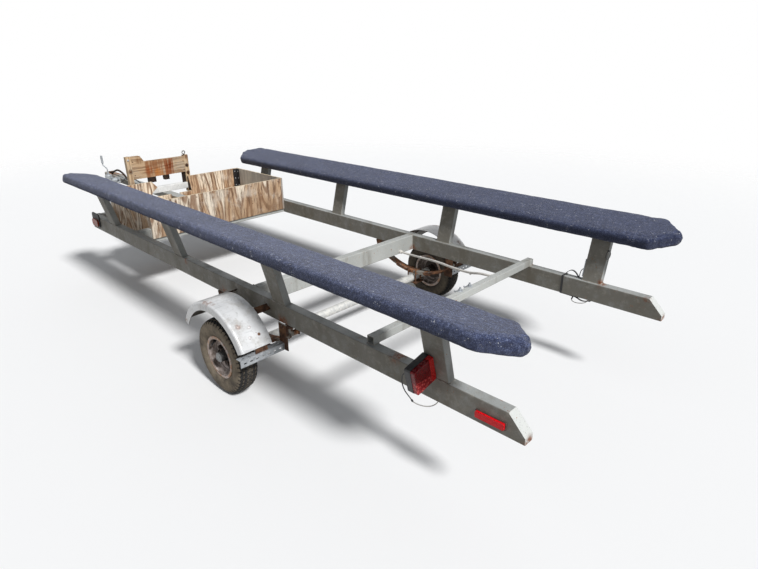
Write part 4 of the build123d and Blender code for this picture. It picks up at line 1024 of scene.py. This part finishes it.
# Fasteners: widths across flats, radii and heights of domes, and places
small_hex, middle_hex, pin_hex, large_hex = 0.010, 0.013, 0.015, 0.016
nail, screw, board_nail = (0.0042, 0.0016), (0.005, 0.003), (0.0045, 0.002)
fender_reach = 0.3081        # the fenders' outer faces from the axle's line
to_top, to_left, to_front, to_rear = (0, 0, 1), (0, 1, 0), (1, 0, 0), (-1, 0, 0)
clamp_apart, clamp_off, pin_apart, eye_drop = 0.033, 0.0275, 0.317, 0.0195
foot_y = -0.219              # the right upright's bolts and its foot's angle
board_nails = ((0.245, 0.845), (0.243, 0.735), (-0.188, 0.800), (-0.188, 0.728))      # y and z
foot_bolts, tube_bolts, strut_bolts = (0.7606, 0.6966), (0.010, -0.070), (0.795, 0.835)
box_nails = (-0.31, 0.16, 0.33)


def make_bolts():
    rusty, bright, painted = Parts(), Parts(), Parts()
    spring_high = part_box("leaf_springs")[1]
    spring_y, eye_level = spring_high.y - 0.022, spring_high.z - eye_drop
    plate_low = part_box("axle_clamps")[0].z + 0.008
    pin_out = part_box("spring_hangers")[1].y
    strut_low, strut_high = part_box("fender_struts")
    for _, side in both_sides:
        for x in (axle_x - clamp_apart, axle_x + clamp_apart):
            for y in (spring_y - clamp_off, spring_y + clamp_off):
                rusty.bolt((x, side * y, plate_low), (0, 0, -1), middle_hex, stub=0.0004)
        for x in (axle_x - pin_apart, axle_x + pin_apart):
            rusty.bolt((x, side * pin_out, eye_level), (0, side, 0), pin_hex, stub=0.003)
        for x, y, z, parts, radius in fender_heads:
            spoke = Vector((x - axle_x, 0.0, z - axle_z)).normalized()
            root = Vector((axle_x, side * y, axle_z)) + spoke * fender_reach
            (painted if parts == "painted" else rusty).dome(root, spoke, radius, radius * 0.45)
        for y in strut_bolts:
            bright.bolt((strut_low.x + 0.019, side * y, strut_high.z - sunk), to_top, small_hex)
    low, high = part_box("coupler")
    for x in (low.x + 0.022, low.x + 0.062):
        for _, side in both_sides:
            bright.bolt((x, side * high.y, rail_top + 0.026), (0, side, 0), large_hex, stub=0.004)
    low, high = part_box("jack_bracket")
    for x in (low.x + 0.014, high.x - 0.014):
        for z in (rail_top + 0.012, rail_top + 0.039):
            bright.bolt((x, tongue_side + 0.008, z), to_left, middle_hex, stub=0.003)
    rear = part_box("stop_upright_left")[0].x
    rusty.bolt((rear, 0.277, 0.640), to_rear, middle_hex)
    rusty.dome((rear, 0.2746, 0.770), to_rear, 0.008, 0.004)
    bright.dome((rear, 0.2794, 0.863), to_rear, 0.009, 0.005)
    for y, z in board_nails:
        rusty.dome((rear - 0.0003, y, z), to_rear, *board_nail)
    for z in foot_bolts:
        rusty.bolt((rear, foot_y, z), to_rear, pin_hex, stub=0.006)
    low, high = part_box("box_rear")
    for y in (low.y + 0.045, *box_nails, high.y - 0.045):
        for z in (high.z - 0.022, rail_top + 0.030):
            rusty.dome((low.x, y, z), to_rear, *nail)
    for x in (low.x + 0.006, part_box("box_front")[0].x + 0.006):
        for y, way in ((low.y, -1), (high.y, 1)):
            for z in (high.z - 0.03, rail_top + 0.10, rail_top + 0.03):
                rusty.dome((x, y, z), (0, way, 0), *nail)
    low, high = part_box("box_bracket")
    for z in (low.z + 0.02, high.z - 0.02, (low.z + high.z) / 2):
        bright.dome((high.x - 0.003, low.y + 0.022, z), to_rear, *screw)
        bright.dome((low.x + 0.018, low.y + 0.003, z), to_left, *screw)
    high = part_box("cross_tube_rear")[1]
    for y in tube_bolts:
        bright.bolt((high.x - 0.009, y, high.z), to_top, large_hex, stub=0.008)
        bright.bolt((high.x - 0.0004, y + 0.004, high.z - 0.012), (1, 0, 0.15), large_hex, stub=0.012)
    painted.made("fender_rivets", "fender_paint")
    rusty.made("rusty_bolts", "rusty_steel")
    bright.made("zinc_bolts", "galvanised")


# Valves: a place from the wheel's middle, a direction, and a profile along it
valve_place, valve_way = (0.066, 0.030, 0.062), (-0.35, 0.9, -0.33)
valve_profile = (
    (-0.004, 0.0075), (0.002, 0.0072), (0.006, 0.0045), (0.020, 0.0042), (0.0205, 0.0048), (0.029, 0.0048),
    (0.030, 0.0040),
)


def make_valves():
    for name, side in both_sides:
        stem = Parts()
        x, y, z = valve_place
        foot = Vector((axle_x + x, side * (wheel_y + y), axle_z + z))
        x, y, z = valve_way
        stem.turned(foot, Vector((x, side * y, z)).normalized(), valve_profile, 20)
        stem.made(f"valve_stem_{name}", "black_plastic", body=f"wheel_{name}")


# Under each bunk: how far hems and staples keep from its ends, out from its middle and below it
hem_ends, hem_apart, hem_drop, hem_steps = 0.13, 0.074, 0.0012, 149
staple_ends, staple_apart, staple_drop, staple_steps = 0.17, 0.078, 0.0031, 45
staple_half, staple_radius, under_in = 0.005, 0.0007, 0.0008


# Staples that hold the carpet's edges under each bunk, and the carpet's two turned-in edges there
def make_bunk_underside(side_name, side, tilt):
    rear, front, centre, across, upwards = bunk_frame(side_name, side, tilt)
    hems, staples = Parts(), Parts()
    underside = under_in - bunk_thick / 2
    draw = random.Random(7)

    def under(x, flat, drop):
        return Vector((x, centre.y, centre.z)) + across * flat + upwards * (underside - drop)

    for way in (-1, 1):
        route = []
        for n in range(hem_steps + 1):
            x = rear + hem_ends + (front - rear - 2 * hem_ends) * n / hem_steps
            flat = way * (hem_apart + 0.0035 * noise.noise(Vector((x * 3.0, way, side))))
            route.append(under(x, flat, hem_drop))
        hems.strip(route, across, 0.030, 0.0030)
        for n in range(staple_steps + 1):
            run = front - rear - 2 * staple_ends
            x = rear + staple_ends + run * (n + draw.uniform(-0.2, 0.2)) / staple_steps
            place = under(x, way * (staple_apart + draw.uniform(-0.004, 0.004)), staple_drop)
            slant = (Vector(to_front) + across * draw.uniform(-0.5, 0.5)).normalized() * staple_half
            staples.rod([place - slant, place, place + slant], staple_radius, 6)
    hems.made(f"carpet_hems_{side_name}", "bunk_carpet", sharp=60)
    staples.made(f"staples_{side_name}", "galvanised")


strap_x, strap_gap, strap_bend, strap_wide = -2.060, 0.0012, 0.003, 0.011
strap_steps, strap_end_x, loop_y, tail_y = 28, strap_x - 0.004, -0.634, -0.628
loop_long, loop_high, loop_until = 0.086, 0.034, 0.86     # the loop comes down at this share of its length
tail_long, tail_sag, tail_from = 0.165, 0.011, 0.45       # the tail hangs from this share of its length


# Black strap tied round the right rail, its loop on top and its tail below
def make_rail_strap():
    strap = Parts()
    inner, outer = strap_gap - rail_inner - strap_bend, -rail_outer - strap_gap + strap_bend
    top, bottom = rail_top + strap_gap - strap_bend, rail_bottom - strap_gap + strap_bend
    ring, right, up = [], (0, strap_bend, 0), (0, 0, strap_bend)
    for number, (y, z) in enumerate(((inner, top), (outer, top), (outer, bottom), (inner, bottom))):
        ring += loop_points((strap_x, y, z), right, up, 3, 90.0 * number, 90.0)
    strap.strip(ring, to_front, strap_wide, 0.0024, closed=True)
    loop, tail = [], []
    for n in range(strap_steps + 1):
        share = n / strap_steps
        hump = math.sin(math.pi * share / loop_until) ** 0.8 if share < loop_until else 0.0
        z = rail_top + 2 * strap_gap + loop_high * hump
        loop.append((strap_end_x - loop_long * share, loop_y - 0.010 * share, z))
        drop = math.sin(math.pi * max(0.0, share - tail_from) / (1 - tail_from)) ** 2
        z = rail_bottom - 0.0030 - tail_sag * drop
        tail.append((strap_end_x - tail_long * share, tail_y + 0.006 * share, z))
    for route in (loop, tail):
        strap.strip(route, to_left, strap_wide, 0.0028)
    strap.made("rail_strap", "black_plastic")


clip_table = (((-1.181, -0.455, 0.4455), 0.16), ((-1.655, -0.331, 0.4990), 0.30))      # a place and slope
clip_radius, clip_steps = 0.0088, 28
eye_x, eye_y, eye_high, eye_radius, eye_thick = 1.312, -0.206, 0.022, 0.013, 0.0034
eye_start, eye_sweep, eye_steps = -70.0, 320.0, 24
angle_iron, angle_screws = (0.660, 0.640, 0.600, 0.560, 0.545), (0.648, 0.556)      # heights
ring_y, ring_z, ring_wide, ring_high, ring_steps = -0.664, 0.668, 0.019, 0.022, 32
handle_y, handle_foot = 0.022, 2.062
handle_rise = (  # x, and height over the tongue
    (2.418, 0.002), (2.412, 0.018), (2.350, 0.042), (2.262, 0.068), (2.180, 0.060), (2.090, 0.030),
    (handle_foot, -0.002),
)


# Clips of the conduit, an eye hook and a rusty angle on the bow stop's right upright, a ring on the right
# rear post, and the coupler's bowed lever
def make_fittings():
    clips = Parts()
    for place, slope in clip_table:
        ring = loop_points(place, (0, clip_radius, 0), (-slope * 0.008, 0, clip_radius), clip_steps)
        clips.strip(ring[:-1], (1.0, -0.3, -slope), 0.007, 0.0016, closed=True)
    clips.made("conduit_clips", "white_plastic")

    iron = Parts()
    low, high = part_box("stop_upright_right")
    place, right, up = (eye_x, eye_y, high.z + eye_high), (0, eye_radius, 0), (0, 0, eye_radius)
    iron.rod(loop_points(place, right, up, eye_steps, eye_start, eye_sweep), eye_thick)
    shank = ((0.0, 0.009), (0.002, 0.009), (0.004, 0.004), (0.012, 0.0036))
    iron.turned((eye_x, eye_y, high.z - 0.001), to_top, shank)
    iron.strip([(low.x - 0.0022, foot_y, z) for z in angle_iron], to_left, 0.030, 0.004)
    for z in angle_screws:
        iron.bolt((low.x - 0.0040, foot_y, z), to_rear, 0.012, washer=False)
    iron.made("stop_irons", "dark_rust", "rusty_steel")

    ring = Parts()
    rear = post_middles[0] - post_half
    middle = (rear - 0.0042, ring_y, ring_z)
    ring.rod(loop_points(middle, (0, 0, ring_high), (0.004, ring_wide, 0), ring_steps), 0.0019, 8)
    stud = ((0.0, 0.005), (0.009, 0.005), (0.010, 0.004))
    ring.turned((rear + 0.001, ring_y, ring_z + ring_high), to_rear, stud, 16)
    ring.made("post_ring", "black_plastic")

    handle = Parts()
    handle.rod(line_points(nurbs([(x, handle_y, tongue_top + rise) for x, rise in handle_rise])), 0.0090, 14)
    foot = ((-0.006, -0.006), (0.006, -0.006), (0.006, 0.006), (-0.006, 0.006))
    handle.bead(*[(handle_foot + x, handle_y + y, tongue_top) for x, y in foot], radius=0.003)
    handle.made("tongue_handle", "dark_rust", "rusty_steel", sharp=60)


# Cords: the wiring conduit, on the route of its CAD tube; each tail lamp's black lead, which loops down to a
# splice, and the pale one that goes on under the rail; a stiff black cable that bows up over the tongue
conduit_route = (
    (-0.9895, -0.490, 0.426), (-1.0555, -0.490, 0.426), (-1.1805, -0.452, 0.446), (-1.3455, -0.411, 0.471),
    (-1.5055, -0.372, 0.479), (-1.6555, -0.330, 0.500), (-1.7405, -0.302, 0.531), (-1.8054, -0.302, 0.531),
)
black_lead = (
    (-2.1577, 0.745, 0.540), (-2.140, 0.745, 0.541), (-2.106, 0.746, 0.528), (-2.098, 0.744, 0.488),
    (-2.104, 0.734, 0.446), (-2.106, 0.708, 0.406), (-2.102, 0.686, 0.376),
)
pale_lead = (
    (-2.100, 0.678, 0.364), (-2.104, 0.673, 0.358), (-2.122, 0.668, 0.354), (-2.152, 0.664, 0.358),
    (-2.184, 0.658, 0.372), (-2.204, 0.650, 0.394), (-2.206, 0.645, 0.4095),
)
tongue_lead = (
    (2.165, 0.0385, 0.530), (2.155, 0.044, 0.534), (2.100, 0.050, 0.556), (2.000, 0.048, 0.592),
    (1.880, 0.047, 0.604), (1.770, 0.046, 0.598), (1.680, 0.045, 0.574), (1.610, 0.043, 0.546),
    (1.600, 0.0385, 0.540),
)
cord_table = (  # name, side, route, finish, diameter, length if it isn't the line's own, far end, stiffness
    ("conduit_hose", 1, conduit_route, "white_plastic", 0.014, 0.850, "object", "stiff"),
    ("lamp_lead_left", 1, black_lead, "black_plastic", 0.0045, None, "connector", "limp"),
    ("lamp_lead_right", -1, black_lead, "black_plastic", 0.0045, None, "connector", "limp"),
    ("lamp_pigtail_left", 1, pale_lead, "white_plastic", 0.0042, None, "object", "limp"),
    ("lamp_pigtail_right", -1, pale_lead, "white_plastic", 0.0042, None, "object", "limp"),
    ("tongue_lead", 1, tongue_lead, "black_plastic", 0.0100, None, "object", "stiff"),
)


def nurbs(route):
    line = bpy.data.curves.new("line", "CURVE")
    line.dimensions = "3D"
    spline = line.splines.new("NURBS")
    spline.points.add(len(route) - 1)
    for point, place in zip(spline.points, route):
        point.co = (*place, 1.0)
    spline.order_u = 3
    spline.use_endpoint_u = True
    spline.resolution_u = 12
    return line


# Points of a curve's own line
def line_points(line):
    held = bpy.data.objects.new("measured", line)
    mesh = bpy.data.meshes.new_from_object(held)
    points = [Vector(v.co) for v in mesh.vertices]
    bpy.data.objects.remove(held)
    bpy.data.meshes.remove(mesh)
    return points


def make_splice(name, route, next_route):
    start, end = Vector(route[-1]), Vector(next_route[0])
    way = (end - start).normalized()
    sleeve = Parts()
    profile = ((0.0, 0.0026), (0.002, 0.0040), (0.0155, 0.0040), (0.0165, 0.0033), (0.019, 0.0027))
    sleeve.turned(start - way * 0.003, way, profile, 20)
    return sleeve.made(f"splice_{name}", "black_plastic")


def make_cords():
    for name, side, route, finish, diameter, length, far_end, stiffness in cord_table:
        route, after = ([(x, side * y, z) for x, y, z in line] for line in (route, pale_lead))
        line = nurbs(route)
        points = line_points(line)
        length = length or round(sum((b - a).length for a, b in zip(points, points[1:])), 3)
        line.name = name
        line.bevel_depth = diameter / 2
        line.bevel_resolution = 5 if name == "conduit_hose" else 4
        line.use_fill_caps = True
        line.materials.append(finishes[finish])
        cord = placed(name, line)
        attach(cord, "chassis")
        if name == "conduit_hose":
            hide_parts("conduit")
        carried = [make_splice(name, route, after)] if far_end == "connector" else []


make_camera()
make_lights()
make_floor()
finishes = make_materials()
dress_nodes()
make_cords()
for name, side in both_sides:
    make_tyre(name, side)
for row in bunk_table:
    make_bunk(*row)
    make_bunk_underside(*row[:3])
make_welds()
make_bolts()
make_valves()
make_rail_strap()
make_fittings()

bpy.context.scene.view_settings.view_transform = "Standard"
